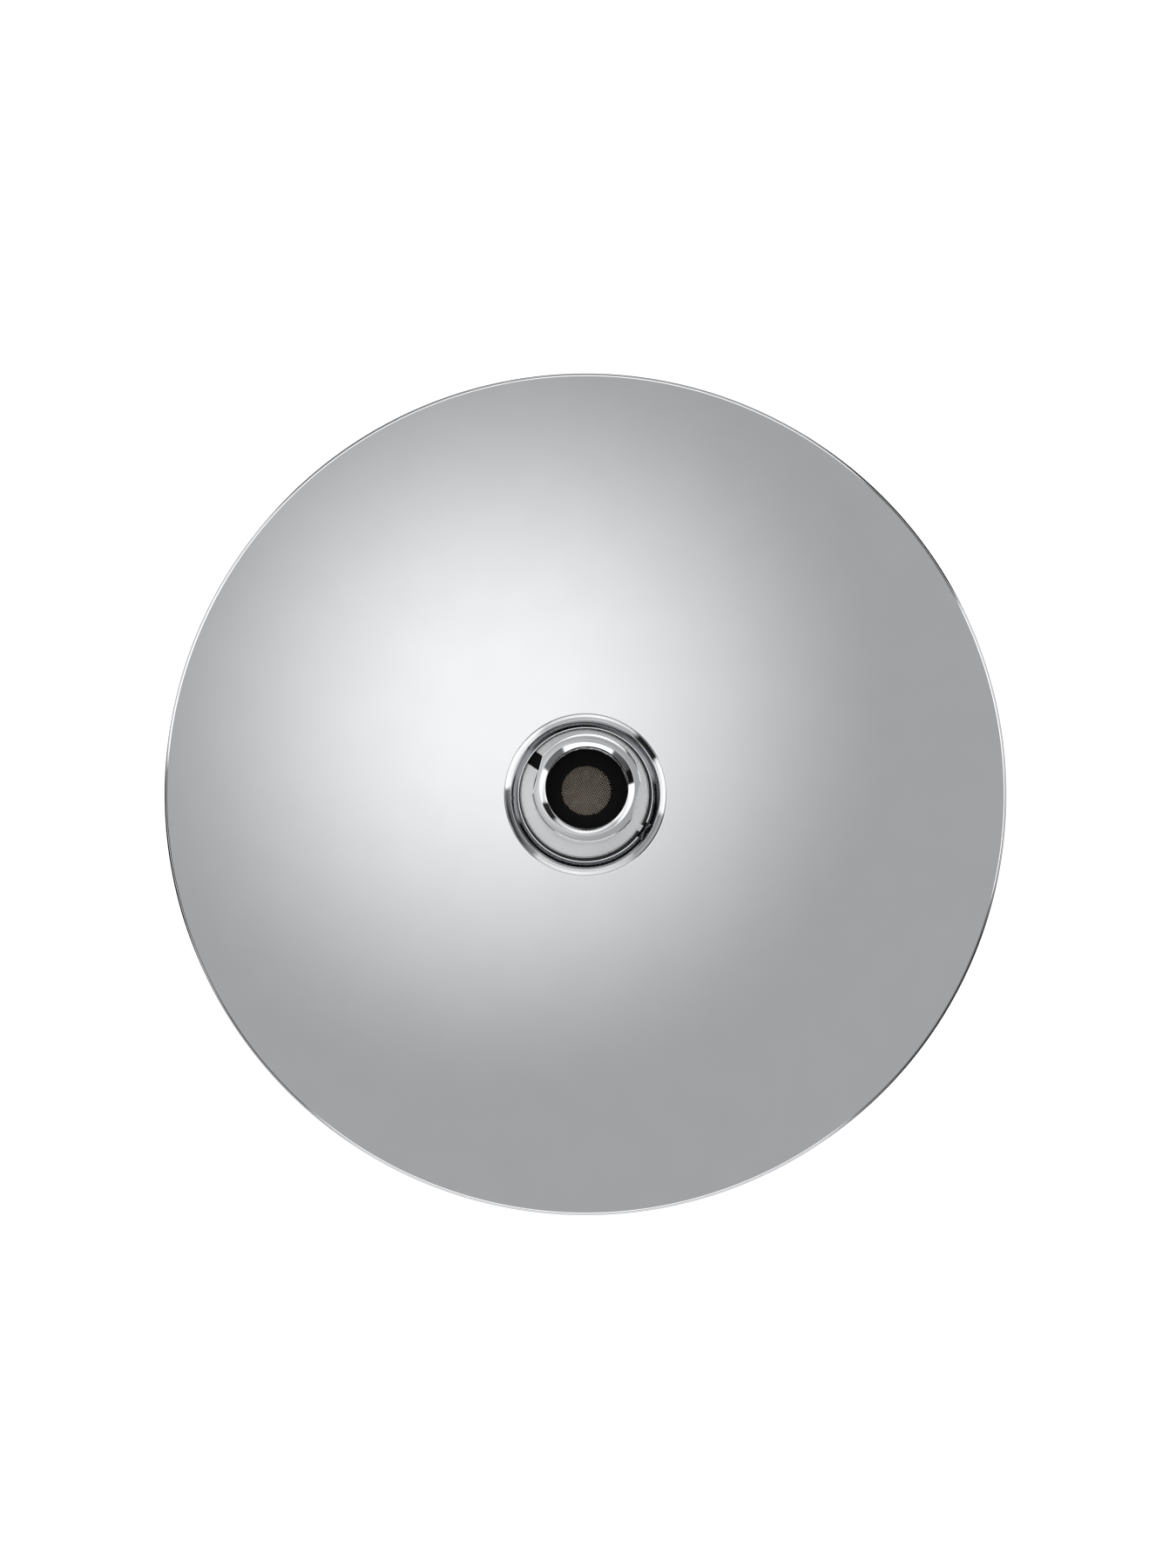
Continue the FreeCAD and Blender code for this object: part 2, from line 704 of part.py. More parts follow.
# Connector: ball, neck and threaded socket in one turned brass piece, with a crown that falls outward
# from the socket's mouth and two wrench flats
def make_ball_connector():
    top = above_ball(connector_top)
    mouth_drop = "(seat_depth - mouth_gap)"
    seal_low = "ball_seal_drop + ball_seal_rise"
    groove_low = f"{seal_low} + ball_seal_play"
    groove_high = "ball_seal_drop - ball_seal_play"
    groove_inside = f"{on_ball(seal_low)} - ball_seal_wall - ball_seal_play"
    body = turned("ball_connector", [
        ("waterway_radius", above_ball(f"-{mouth_drop}")),
        (on_ball(mouth_drop), above_ball(f"-{mouth_drop}")),
        ("ccw", ("0", ball_height), (None, above_ball(f"-({groove_low})")), 1),
        (groove_inside, above_ball(f"-({groove_low})")),
        (groove_inside, above_ball(f"-({groove_high})")),
        (on_ball(groove_high), above_ball(f"-({groove_high})")),
        ("ccw", ("0", ball_height), ("neck_radius", None), 1),
        (flange_radius, above_ball(shoulder_height)),
        (flange_radius, f"{top} - crown_drop - flange_edge"),
        (f"{flange_radius} - flange_edge", f"{top} - crown_drop"),
        (entry_radius, top),
        ("thread_radius", f"{top} - entry_depth"),
        ("thread_radius", above_ball(relief_top)),
        (relief_radius, above_ball(relief_top)),
        (relief_radius, above_ball(socket_floor)),
        (pocket_radius, above_ball(socket_floor)),
        (pocket_radius, above_ball(pocket_floor)),
        ("waterway_radius", above_ball(pocket_floor)),
    ])
    # Each flat is cut over the flange's whole width, down to the neck
    sketch = bar_sketch(body, "flat", "flats_across / 2", f"{flange_radius} + flats_depth",
                        f"{flange_radius} * 2", height=top, azimuth="flats_azimuth")
    flat = cut_pocket(body, sketch, f"{connector_top} - {neck_height}")
    around(body, [flat], "2")
    return tilted(body)


# Washer with the strainer moulded into its bore, under the thread
def make_inlet_washer():
    bottom = above_ball(socket_floor)
    middle = above_ball(f"{socket_floor} + mesh_height")
    washer_radius = f"({relief_radius} - washer_play)"
    body = turned("inlet_washer", [
        ("washer_bore", bottom),
        (washer_radius, bottom),
        (washer_radius, f"{bottom} + washer_wall"),
        ("washer_bore", f"{bottom} + washer_wall"),
        ("washer_bore", f"{middle} + mesh_wall / 2 + mesh_play"),
        (f"{mesh_radius} + mesh_play", f"{middle} + mesh_wall / 2 + mesh_play"),
        (f"{mesh_radius} + mesh_play", f"{middle} - mesh_wall / 2 - mesh_play"),
        ("washer_bore", f"{middle} - mesh_wall / 2 - mesh_play"),
    ])
    return tilted(body)


def make_filter_mesh():
    middle = above_ball(f"{socket_floor} + mesh_height")
    return tilted(square_ring("filter_mesh", "0", mesh_radius, f"{middle} - mesh_wall / 2",
                              f"{middle} + mesh_wall / 2"))


# Flow regulator: a slotted cup with a core, pushed into its pocket under the washer
def make_flow_regulator():
    bottom = above_ball(pocket_floor)
    top = f"({bottom} + regulator_rise)"
    wall_inside = "(regulator_radius - regulator_wall)"
    body = turned("flow_regulator", [
        ("0", bottom),
        ("regulator_radius", bottom),
        ("regulator_radius", top),
        (wall_inside, top),
        (wall_inside, f"{bottom} + regulator_floor"),
        ("regulator_core", f"{bottom} + regulator_floor"),
        ("regulator_core", f"{top} - regulator_sink"),
        ("0", f"{top} - regulator_sink"),
    ])
    sketch = bar_sketch(body, "water_slot", "regulator_core + regulator_wall / 2",
                        f"{wall_inside} - regulator_wall / 2", "regulator_slot_width",
                        height=f"{bottom} + regulator_floor")
    around(body, [cut_pocket(body, sketch, "regulator_floor")], "regulator_slots")
    return tilted(body)


parts = [
    make_back_shell(),
    make_face_plate(),
    make_nozzle_mat(),
    make_chamber_plate(),
    square_ring("chamber_seal", f"{skirt_inside} - seal_width + seal_squeeze",
                f"{skirt_inside} - seal_squeeze", f"{seal_middle} - seal_rise / 2 + seal_squeeze",
                f"{seal_middle} + seal_rise / 2 - seal_squeeze"),
    square_ring("inlet_seal", f"{spigot_radius} - spigot_groove + seal_squeeze",
                "inlet_radius - seal_squeeze", f"{spigot_middle} - inlet_seal_rise / 2 + seal_squeeze",
                f"{spigot_middle} + inlet_seal_rise / 2 - seal_squeeze"),
    make_chamber_screws(),
    make_screw_seals(),
    make_water_spreader(),
    square_ring("seat_washer", "inlet_radius + seal_squeeze", "seat_radius", floor_top, seat_bottom),
    make_ball_seat(),
    make_collar(),
    make_retaining_ring(),
    make_ball_seal(),
    make_ball_connector(),
    make_inlet_washer(),
    make_filter_mesh(),
    make_flow_regulator(),
]
doc.recompute()

for item in doc.Objects:
    if "Invalid" in item.State or "Error" in item.State:
        raise RuntimeError(f"{item.Name} failed: {item.State}")
for body in parts:
    if body.Shape.isNull() or not body.Shape.isValid():
        raise RuntimeError(f"{body.Label} has no valid shape")
    body.Shape.exportStep(f"parts/{body.Label}.step")
    print(f"{body.Label}: {len(body.Shape.Solids)} solid(s), {body.Shape.Volume:.1f} mm3")
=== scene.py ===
import math

import bpy
import numpy as np
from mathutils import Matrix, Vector
from mathutils.geometry import delaunay_2d_cdt


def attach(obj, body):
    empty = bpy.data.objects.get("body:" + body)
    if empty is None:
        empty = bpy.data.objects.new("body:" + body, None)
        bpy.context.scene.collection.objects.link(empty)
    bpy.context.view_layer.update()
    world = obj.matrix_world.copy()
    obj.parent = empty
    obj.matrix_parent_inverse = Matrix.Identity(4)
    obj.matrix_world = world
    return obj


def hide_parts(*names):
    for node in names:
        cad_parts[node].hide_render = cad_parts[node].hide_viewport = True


# Round rain shower head seen from its inlet side. All sizes below are in millimetres and degrees.
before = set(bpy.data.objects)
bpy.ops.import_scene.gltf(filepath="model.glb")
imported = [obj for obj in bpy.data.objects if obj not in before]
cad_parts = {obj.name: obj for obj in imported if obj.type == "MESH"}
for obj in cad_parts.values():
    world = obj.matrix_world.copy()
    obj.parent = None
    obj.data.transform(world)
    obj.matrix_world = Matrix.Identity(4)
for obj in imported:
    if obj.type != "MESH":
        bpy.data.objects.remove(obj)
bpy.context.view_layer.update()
mm = 0.001
longestCut = 0.45  # share of the shorter run that a rounded corner may take up
seam = 1e-4  # radians from one row of points to the next across a crisp upright edge
sameLength = 1e-6  # mm: lengths nearer to each other than this are the same
print("frame loaded:", len(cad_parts), "nodes")


# Mesh tools

def softened(corners, steps=8):
    # A closed half section. Each corner (r, z, rounding) becomes an arc tangent to both of its runs. The arc
    # starts rounding / tan(half the corner's angle) before the corner, or at longestCut of the shorter run.
    section = []
    for index, (r, z, rounding) in enumerate(corners):
        corner = np.array([r, z])
        if rounding == 0:
            section.append(corner[None])
            continue
        toBefore = np.array(corners[index - 1][:2]) - corner
        toAfter = np.array(corners[(index + 1) % len(corners)][:2]) - corner
        shorter = min(np.linalg.norm(toBefore), np.linalg.norm(toAfter))
        toBefore, toAfter = toBefore / np.linalg.norm(toBefore), toAfter / np.linalg.norm(toAfter)
        half = math.acos(np.clip(toBefore @ toAfter, -1, 1)) / 2
        cut = min(rounding / math.tan(half), longestCut * shorter)
        middle = corner + (toBefore + toAfter) * cut / (1 + toBefore @ toAfter)
        start, end = corner + toBefore * cut - middle, corner + toAfter * cut - middle
        turn = math.pi - 2 * half
        share = np.linspace(0, 1, steps + 1)[:, None]
        arc = (np.sin((1 - share) * turn) * start + np.sin(share * turn) * end) / math.sin(turn)
        section.append(middle + arc)
    return np.concatenate(section)


def arcCorners(middle, radius, start, end, count):
    # Corners along an arc: r = middle r + radius cos a, z = middle z + radius sin a, a from start to end
    angles = np.radians(np.linspace(start, end, count))
    return [(middle[0] + radius * math.cos(a), middle[1] + radius * math.sin(a), 0) for a in angles]


def revolved(radii, heights, angles):
    # x = r cos t, y = r sin t, z = height, for every angle t (down the rows) and point of the section
    radii, heights, angles = np.broadcast_arrays(radii, heights, angles)
    return np.stack([radii * np.cos(angles), radii * np.sin(angles), heights], axis=-1)


def gridFaces(rows, columns, closeRows=True, closeColumns=True):
    # Quads between each point of a grid and its next row and column; a closed way wraps to its start
    i, j = np.indices((rows - (not closeRows), columns - (not closeColumns)))
    nextI, nextJ = (i + 1) % rows, (j + 1) % columns
    quads = [i * columns + j, nextI * columns + j, nextI * columns + nextJ, i * columns + nextJ]
    return np.stack(quads, axis=-1).reshape(-1, 4)


def fullTurn(steps):
    # A column of evenly spaced angles: t = 2 pi k / steps
    return np.linspace(0, 2 * math.pi, steps, endpoint=False)[:, None]


def circle(steps):
    # Points of a unit circle: (cos t, sin t)
    return revolved(1.0, 0.0, fullTurn(steps)[:, 0])[:, :2]


def raised(flat, height):
    # Flat points at one height: (x, y, height)
    return np.column_stack([flat, np.full(len(flat), height)])


def turnWith(steps, extra):
    # The evenly spaced angles of a full turn with some more among them, in order
    angles = np.concatenate([fullTurn(steps)[:, 0], np.mod(extra, 2 * math.pi)])
    return np.sort(angles)[:, None]


def turnApart(angles, middle):
    # How far angles lie from a middle one, either way round: |(a - middle + pi) mod 2 pi - pi|
    return np.abs((angles - middle + math.pi) % (2 * math.pi) - math.pi)


def spread(section, angles):
    # The section's radii and heights, once for every angle
    return [np.repeat(section[None, :, k], len(angles), axis=0) for k in (0, 1)]


def bridge(first, second):
    # Quads between two closed rows of points, given by their numbers
    return np.stack([first, second, np.roll(second, -1, axis=-1), np.roll(first, -1, axis=-1)], axis=-1)


def closedShell(grid):
    # A grid of points that closes on itself both ways
    return grid.reshape(-1, 3), [gridFaces(*grid.shape[:2])]


def closedBar(grid):
    # A grid whose rows each close on themselves, with one flat face across the first row and the last
    rows, columns = grid.shape[:2]
    ends = np.arange(columns)[None]
    faces = [gridFaces(rows, columns, False, True), ends[:, ::-1], ends + (rows - 1) * columns]
    return grid.reshape(-1, 3), faces


def turnedShell(section, steps):
    # A closed half section carried once round Z
    return closedShell(revolved(section[:, 0], section[:, 1], fullTurn(steps)))


def cappedShell(section, steps):
    # An open half section carried once round Z, with one flat face across each end
    count = len(section)
    grid = revolved(section[:, 0], section[:, 1], fullTurn(steps))
    rings = np.arange(steps)[None] * count
    return grid.reshape(-1, 3), [gridFaces(steps, count, True, False), rings, rings[:, ::-1] + count - 1]


def enclosed(points, faces):
    # Volume inside a closed shell: the sum of a . (b x c) / 6 over its triangles
    total = 0.0
    for group in faces:
        first = points[group[:, 0]]
        for k in range(1, group.shape[1] - 1):
            total += np.einsum("ij,ij->", first, np.cross(points[group[:, k]], points[group[:, k + 1]])) / 6
    return total


def makePiece(name, shells, material, body, slotName, *nodes, sharpAngle=30):
    # One object of one or more closed shells, each turned to face outwards, in place and in metres
    allPoints, allFaces, used = [], [], 0
    for points, faces in shells:
        if enclosed(points, faces) < 0:
            faces = [group[:, ::-1] for group in faces]
        allPoints.append(points)
        allFaces += [group + used for group in faces]
        used += len(points)
    counts = np.concatenate([np.full(len(group), group.shape[1]) for group in allFaces])
    mesh = bpy.data.meshes.new(name)
    mesh.vertices.add(used)
    mesh.vertices.foreach_set("co", (np.concatenate(allPoints) * mm).astype(np.float32).ravel())
    mesh.loops.add(int(counts.sum()))
    indices = np.concatenate([group.ravel() for group in allFaces])
    mesh.loops.foreach_set("vertex_index", indices.astype(np.int32))
    mesh.polygons.add(len(counts))
    mesh.polygons.foreach_set("loop_start", (np.cumsum(counts) - counts).astype(np.int32))
    mesh.update(calc_edges=True)
    mesh.validate()
    mesh.shade_smooth()
    mesh.set_sharp_from_angle(angle=math.radians(sharpAngle))
    mesh.materials.append(material)
    piece = bpy.data.objects.new(name, mesh)
    bpy.context.scene.collection.objects.link(piece)
    # Large faces lead the shading, so a flat or a dome keeps its own reflection up to a rounded edge
    facing = piece.modifiers.new("facing", "WEIGHTED_NORMAL")
    facing.keep_sharp = True
    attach(piece, body)
    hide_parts(*nodes)
    print("piece made:", name, len(counts), "faces")
    return piece


# Materials

def linearColour(hexCode):
    # sRGB hex to the linear colour that the shaders take
    channels = [int(hexCode[i:i + 2], 16) / 255 for i in (1, 3, 5)]
    return [c / 12.92 if c <= 0.04045 else ((c + 0.055) / 1.055) ** 2.4 for c in channels] + [1.0]


def addNode(tree, kind, inputs=None, **settings):
    # Adds one shader node with its settings; an input is a plain value or another node's output
    node = tree.nodes.new("ShaderNode" + kind)
    for name, item in settings.items():
        setattr(node, name, item)
    for socket, item in (inputs or {}).items():
        if isinstance(item, bpy.types.NodeSocket):
            tree.links.new(item, node.inputs[socket])
        else:
            node.inputs[socket].default_value = item
    return node


# Nearly all of a noise texture lies between these two values
noiseRange = (0.3, 0.7)


def newSurface(name, colours, roughness, grain, depth, metallic=0.0, detail=3.0, **sockets):
    # A finish whose colour and roughness drift between two values with a noise of that grain in mm, and
    # whose bump is depth mm high at the same grain
    material = bpy.data.materials.new(name)
    material.use_nodes = True
    tree = material.node_tree
    shader = tree.nodes["Principled BSDF"]
    place = addNode(tree, "TexCoord").outputs["Object"]
    noise = addNode(tree, "TexNoise", {"Vector": place, "Scale": 1 / (grain * mm), "Detail": detail})
    drift = noise.outputs["Fac"]
    tint = addNode(tree, "Mix", {0: drift, 6: linearColour(colours[0]), 7: linearColour(colours[1])},
                   data_type="RGBA")
    gloss = addNode(tree, "MapRange", {"Value": drift, "From Min": noiseRange[0], "From Max": noiseRange[1],
                                       "To Min": roughness[0], "To Max": roughness[1]})
    bump = addNode(tree, "Bump", {"Height": drift, "Distance": depth * mm, "Strength": 1.0})
    tree.links.new(tint.outputs[2], shader.inputs["Base Color"])
    tree.links.new(gloss.outputs["Result"], shader.inputs["Roughness"])
    tree.links.new(bump.outputs["Normal"], shader.inputs["Normal"])
    shader.inputs["Metallic"].default_value = metallic
    for socket, item in sockets.items():
        shader.inputs[socket.replace("_", " ")].default_value = item
    return material


# Grains are in millimetres. Real spark-eroded textures, rubber blooms and rolling marks are 0.02 to 0.1 mm
# fine, which no view shows, so they are drawn several times coarser here.

# Bright nickel-chrome on moulded ABS: a neutral mirror with a trace of the moulding's slow waviness
chromeOnAbs = newSurface("chrome plated ABS, moulded", ("#C4C5C7", "#C8C9CB"), (0.03, 0.05), 9.0, 0.0006,
                         metallic=1.0, detail=1.0)
# The same plating on turned brass: a little crisper, with hardly any waviness
chromeOnBrass = newSurface("chrome plated brass, turned", ("#C2C3C5", "#C7C8CA"), (0.04, 0.07), 4.0, 0.0004,
                           metallic=1.0, detail=1.0)
# Natural grey acetal off a spark-eroded mould: an even satin with a soft broad highlight
greyAcetal = newSurface("grey acetal, moulded satin", ("#E6E7E8", "#ECEDEE"), (0.38, 0.5), 0.5, 0.01)
# The same resin without pigment: milky, with a slightly tighter highlight
whiteAcetal = newSurface("white acetal, moulded", ("#DEDFDE", "#E8E8E6"), (0.35, 0.48), 0.6, 0.008)
# Carbon-filled acetal from a plain mould: deep and even, with only a faint sheen
blackAcetal = newSurface("black acetal, moulded", ("#060607", "#0B0C0D"), (0.5, 0.65), 0.5, 0.008,
                         Specular_IOR_Level=0.25)
# Pressed and peroxide-cured EPDM: black with a faint dusty bloom
blackRubber = newSurface("black EPDM rubber, pressed", ("#030303", "#070707"), (0.7, 0.85), 0.35, 0.012,
                         Specular_IOR_Level=0.15)
# Stainless wire, drawn and woven: greyish, with a warm cast from the mill finish
wovenSteel = newSurface("stainless wire, woven", ("#A1968B", "#B7AC9F"), (0.3, 0.45), 0.3, 0.004,
                        metallic=1.0)
# Liquid silicone, moulded: soft mid grey with a blurred sheen
greySilicone = newSurface("grey silicone, moulded", ("#85898C", "#93979A"), (0.45, 0.6), 1.2, 0.01)
# Spray face of ABS with a fine spark-eroded texture that spreads the highlight
faceAbs = newSurface("light grey ABS, textured", ("#CFD1D3", "#DADCDD"), (0.4, 0.52), 0.45, 0.018)
# Unpigmented ABS from a plain tool: ivory, with the slow unevenness of thick walls
innerAbs = newSurface("natural ABS, moulded", ("#D8D6CF", "#E2E0DA"), (0.4, 0.5), 2.0, 0.01)
# Rolled and zinc plated steel: a cool grey metal, half bright
screwSteel = newSurface("zinc plated screw steel", ("#A9ABAE", "#BABCBE"), (0.25, 0.4), 0.8, 0.004,
                        metallic=1.0)
print("materials made:", len(bpy.data.materials))


# Shell: dome, rolled rim, side wall, swivel well and screw bosses
shell = {
    "discRadius": 100.0, "rimTop": 12.3, "domeRise": 16.0, "rimRound": 1.2, "edgeHeight": 2.2,
    "edgeRound": 0.7, "wall": 2.2, "landRadius": 19.0, "wellRadius": 17.5, "wellFloor": 13.5,
    "floorBottom": 11.2, "inletRadius": 8.5, "wellOutside": 20.1,
    "snapHeight": 7.2, "snapDepth": 0.25, "snapRamp": 0.5,
    "fineRound": 0.1, "smallRound": 0.2, "insideRound": 0.25, "underRound": 0.3, "wellRound": 0.4,
    "turnSteps": 480, "domeSteps": 48, "undersideSteps": 16, "rimSteps": 16,
    "bossCircle": 60.0, "bossCount": 6, "bossRadius": 3.4, "pilotRadius": 1.45, "bossBottom": 10.8,
    "pilotTop": 18.8, "bossSides": 32,
}
domeRadius = (shell["discRadius"] ** 2 + shell["domeRise"] ** 2) / (2 * shell["domeRise"])
domeCentre = shell["rimTop"] + shell["domeRise"] - domeRadius


def domeHeight(r, radius=domeRadius):
    # Height of the dome's sphere at a distance from its axis: centre + root of (radius^2 - r^2)
    return domeCentre + math.sqrt(radius ** 2 - r ** 2)


def makeBackShell(s):
    # The section runs from the edge up the side wall and over the rim's arc, along the dome's sphere to the
    # well, down into it and back along the underside, a sphere one wall smaller
    rimCentre = s["discRadius"] - s["rimRound"]
    rimHeight = domeCentre + math.sqrt((domeRadius - s["rimRound"]) ** 2 - rimCentre ** 2)
    rimEnd = math.degrees(math.atan2(rimHeight - domeCentre, rimCentre))
    landAngle = math.degrees(math.acos(s["landRadius"] / domeRadius))
    inside = domeRadius - s["wall"]
    innerRadius = s["discRadius"] - s["wall"]
    fromAngle = math.degrees(math.acos(s["wellOutside"] / inside))
    toAngle = math.degrees(math.acos(innerRadius / inside))
    fine, small = s["fineRound"], s["smallRound"]
    corners = [
        (innerRadius, s["edgeHeight"], s["insideRound"]),
        (s["discRadius"], s["edgeHeight"], s["edgeRound"]),
    ]
    corners += arcCorners((rimCentre, rimHeight), s["rimRound"], 0, rimEnd, s["rimSteps"])
    corners += arcCorners((0, domeCentre), domeRadius, rimEnd, landAngle, s["domeSteps"])[1:-1]
    corners += [
        (s["landRadius"], domeHeight(s["landRadius"]), fine),
        (s["wellRadius"], domeHeight(s["landRadius"]), small),
        (s["wellRadius"], s["wellFloor"], s["wellRound"]),
        (s["inletRadius"], s["wellFloor"], small),
        (s["inletRadius"], s["floorBottom"], small),
        (s["wellOutside"], s["floorBottom"], s["underRound"]),
    ]
    corners += arcCorners((0, domeCentre), inside, fromAngle, toAngle, s["undersideSteps"])
    corners += [
        (innerRadius, s["snapHeight"] + s["snapRamp"], fine),
        (innerRadius + s["snapDepth"], s["snapHeight"], fine),
        (innerRadius, s["snapHeight"] - s["snapRamp"], fine),
    ]
    shells = [turnedShell(softened(corners), s["turnSteps"])]
    bossTop = domeHeight(s["bossCircle"], inside) + s["wall"] / 2
    boss = np.array([(s["pilotRadius"], s["pilotTop"]), (s["pilotRadius"], s["bossBottom"]),
                     (s["bossRadius"], s["bossBottom"]), (s["bossRadius"], bossTop)])
    points, faces = cappedShell(boss, s["bossSides"])
    for place in raised(s["bossCircle"] * circle(s["bossCount"]), 0.0):
        shells.append((points + place, faces))
    return makePiece("domed_back_shell", shells, chromeOnAbs, "head", "chrome_abs", "back_shell")


makeBackShell(shell)

# Where the nozzles stand, for the spray face and the mat
nozzles = {"rowPitch": 17.0, "rowCount": 5, "rowStep": 6}


def nozzleCentres(n):
    # Rings of 6, 12, 18 ... places, each ring one pitch further out and starting on the X axis
    rings = [n["rowPitch"] * ring * circle(n["rowStep"] * ring) for ring in range(1, n["rowCount"] + 1)]
    return np.concatenate(rings)


def piercedDisc(outerRadius, outerSteps, centres, holeRadius, holeSteps):
    # Flat disc with a round hole at each centre: its rim points, then each hole's, and the triangles between
    rings = [outerRadius * circle(outerSteps)]
    rings += [centre + holeRadius * circle(holeSteps) for centre in centres]
    flat = np.concatenate(rings)
    edges, start = [], 0
    for ring in rings:
        edges += [(start + k, start + (k + 1) % len(ring)) for k in range(len(ring))]
        start += len(ring)
    found = delaunay_2d_cdt([Vector(p) for p in flat], edges, [], 0, sameLength, False)
    if len(found[0]) != len(flat):
        raise RuntimeError("the pierced disc's points were merged")
    triangles = np.array([face for face in found[2] if len(face) == 3])
    middles = flat[triangles].mean(axis=1)
    nearest = np.linalg.norm(middles[:, None] - centres[None], axis=-1).min(axis=1)
    return flat, triangles[nearest > holeRadius]


def holeWalls(centres, section, lowRim, highRim, start):
    # Down every hole at once: ring k holds centre + radius k (cos t, sin t) at height k. Quads join the low
    # rim's points to the first ring, each ring to the next, and the last to the high rim's points.
    points, faces = [], []
    around = circle(lowRim.shape[1])
    before = lowRim
    for radius, height in section:
        points.append(raised((centres[:, None] + radius * around[None]).reshape(-1, 2), height))
        here = np.arange(lowRim.size).reshape(lowRim.shape) + start
        faces.append(bridge(before, here))
        before = here
        start += lowRim.size
    faces.append(bridge(before, highRim))
    return points, [group.reshape(-1, 4) for group in faces]


# Spray face: a flat textured plate with a skirt that snaps into the shell
face = {
    "bottom": 2.6, "top": 4.6, "radius": 97.5, "skirtInside": 95.9, "skirtTop": 8.8, "snapHeight": 7.2,
    "snapDepth": 0.25, "snapRamp": 0.5, "holeRadius": 2.35, "edge": 0.35, "holeEdge": 0.2,
    "lipCurve": 0.3, "fineRound": 0.1, "skirtRound": 0.2,
    "turnSteps": 240, "holeSteps": 24, "cornerSteps": 4,
}


def makeFacePlate(s):
    # Two flat pierced discs, joined round their rims by the turned skirt and through each hole by its wall
    centres = nozzleCentres(nozzles)
    flat, triangles = piercedDisc(s["skirtInside"], s["turnSteps"], centres, s["holeRadius"] + s["holeEdge"],
                                  s["holeSteps"])
    count, outer = len(flat), s["turnSteps"]
    points = [raised(flat, s["bottom"]), raised(flat, s["top"])]
    faces = [triangles[:, ::-1], triangles + count]
    # The skirt runs from the underside's rim out, up over the bead and back down to the top's rim
    corners = [
        (s["skirtInside"], s["bottom"], 0),
        (s["radius"], s["bottom"], s["edge"]),
        (s["radius"], s["snapHeight"] - s["snapRamp"], s["fineRound"]),
        (s["radius"] + s["snapDepth"], s["snapHeight"], s["fineRound"]),
        (s["radius"], s["snapHeight"] + s["snapRamp"], s["fineRound"]),
        (s["radius"], s["skirtTop"], s["skirtRound"]),
        (s["skirtInside"], s["skirtTop"], s["skirtRound"]),
        (s["skirtInside"], s["top"], 0),
    ]
    section = softened(corners, s["cornerSteps"])[1:-1]
    grid = revolved(section[:, 0], section[:, 1], fullTurn(outer))
    length = len(section)
    points.append(grid.reshape(-1, 3))
    base = 2 * count
    rim = np.arange(outer)
    firstTurned, lastTurned = base + rim * length, base + rim * length + length - 1
    faces += [gridFaces(outer, length, True, False) + base, bridge(firstTurned, rim),
              bridge(rim + count, lastTurned)]
    # Each hole's wall has a rounded lip on the underside
    holes = np.arange(len(centres) * s["holeSteps"]).reshape(len(centres), -1) + outer
    lip, curve = s["holeEdge"], s["holeEdge"] * s["lipCurve"]
    section = [(s["holeRadius"] + curve, s["bottom"] + curve), (s["holeRadius"], s["bottom"] + lip),
               (s["holeRadius"], s["top"])]
    wallPoints, wallFaces = holeWalls(centres, section, holes, holes + count, base + outer * length)
    shells = [(np.concatenate(points + wallPoints), faces + wallFaces)]
    return makePiece("spray_face", shells, faceAbs, "head", "face_abs", "face_plate")


makeFacePlate(face)

# Nozzle mat: a silicone sheet with a tapered nozzle standing down through each hole of the face
mat = {
    "radius": 91.9, "bottom": 4.6, "top": 6.0, "rootRadius": 2.1, "tipRadius": 1.5, "boreRadius": 0.6,
    "tipRound": 0.45, "tipAngles": (0.5, 1.05, 1.57), "lip": 0.2, "turnSteps": 180, "sides": 20,
    "sharpAngle": 40,
}


def makeNozzleMat(s):
    # A pierced disc below and one with smaller holes above, joined round the rim. The wall of each hole runs
    # down the nozzle's tapered outside, round its tip and up its bore.
    centres = nozzleCentres(nozzles)
    flat, triangles = piercedDisc(s["radius"], s["turnSteps"], centres, s["rootRadius"], s["sides"])
    count, outer = len(flat), s["turnSteps"]
    bores = (centres[:, None] + s["boreRadius"] * circle(s["sides"])[None]).reshape(-1, 2)
    top = np.concatenate([flat[:outer], bores])
    points = [raised(flat, s["bottom"]), raised(top, s["top"])]
    rim = np.arange(outer)
    faces = [triangles[:, ::-1], triangles + count, bridge(rim + count, rim)]
    low = s["tipRound"]
    slope = (s["rootRadius"] - s["tipRadius"]) / s["bottom"]
    section = [(s["tipRadius"] + slope * low, low)]
    section += [(s["tipRadius"] - low + low * math.cos(a), low - low * math.sin(a)) for a in s["tipAngles"]]
    section += [(s["boreRadius"] + s["lip"], 0), (s["boreRadius"], s["lip"])]
    holes = np.arange(len(bores)).reshape(len(centres), -1) + outer
    wallPoints, wallFaces = holeWalls(centres, section, holes, holes + count, 2 * count)
    shells = [(np.concatenate(points + wallPoints), faces + wallFaces)]
    return makePiece("nozzle_sheet", shells, greySilicone, "head", "silicone", "nozzle_mat",
                     sharpAngle=s["sharpAngle"])


makeNozzleMat(mat)

# Collar: the plated nut, with its bevelled lip and the notch for the ring's key
ballHeight = 25.0
collar = {
    "radius": 18.75, "top": 32.0, "fall": 1.0, "round": 0.7, "bevelRadius": 17.2,
    "lipRadius": 15.3, "lipTop": 30.5, "lipUnder": 28.2, "lipLand": 0.24,
    "bore": 16.1, "skirtRadius": 17.3, "skirtBottom": 19.0, "land": domeHeight(shell["landRadius"]),
    "notchDepth": 0.55, "notchWidth": 4.0, "notchAzimuth": 328.4,
    "lipRound": 0.08, "fineRound": 0.1, "ridgeRound": 0.12, "skirtRound": 0.2,
    "turnSteps": 360, "cornerSteps": 12, "lipSteps": 8,
}


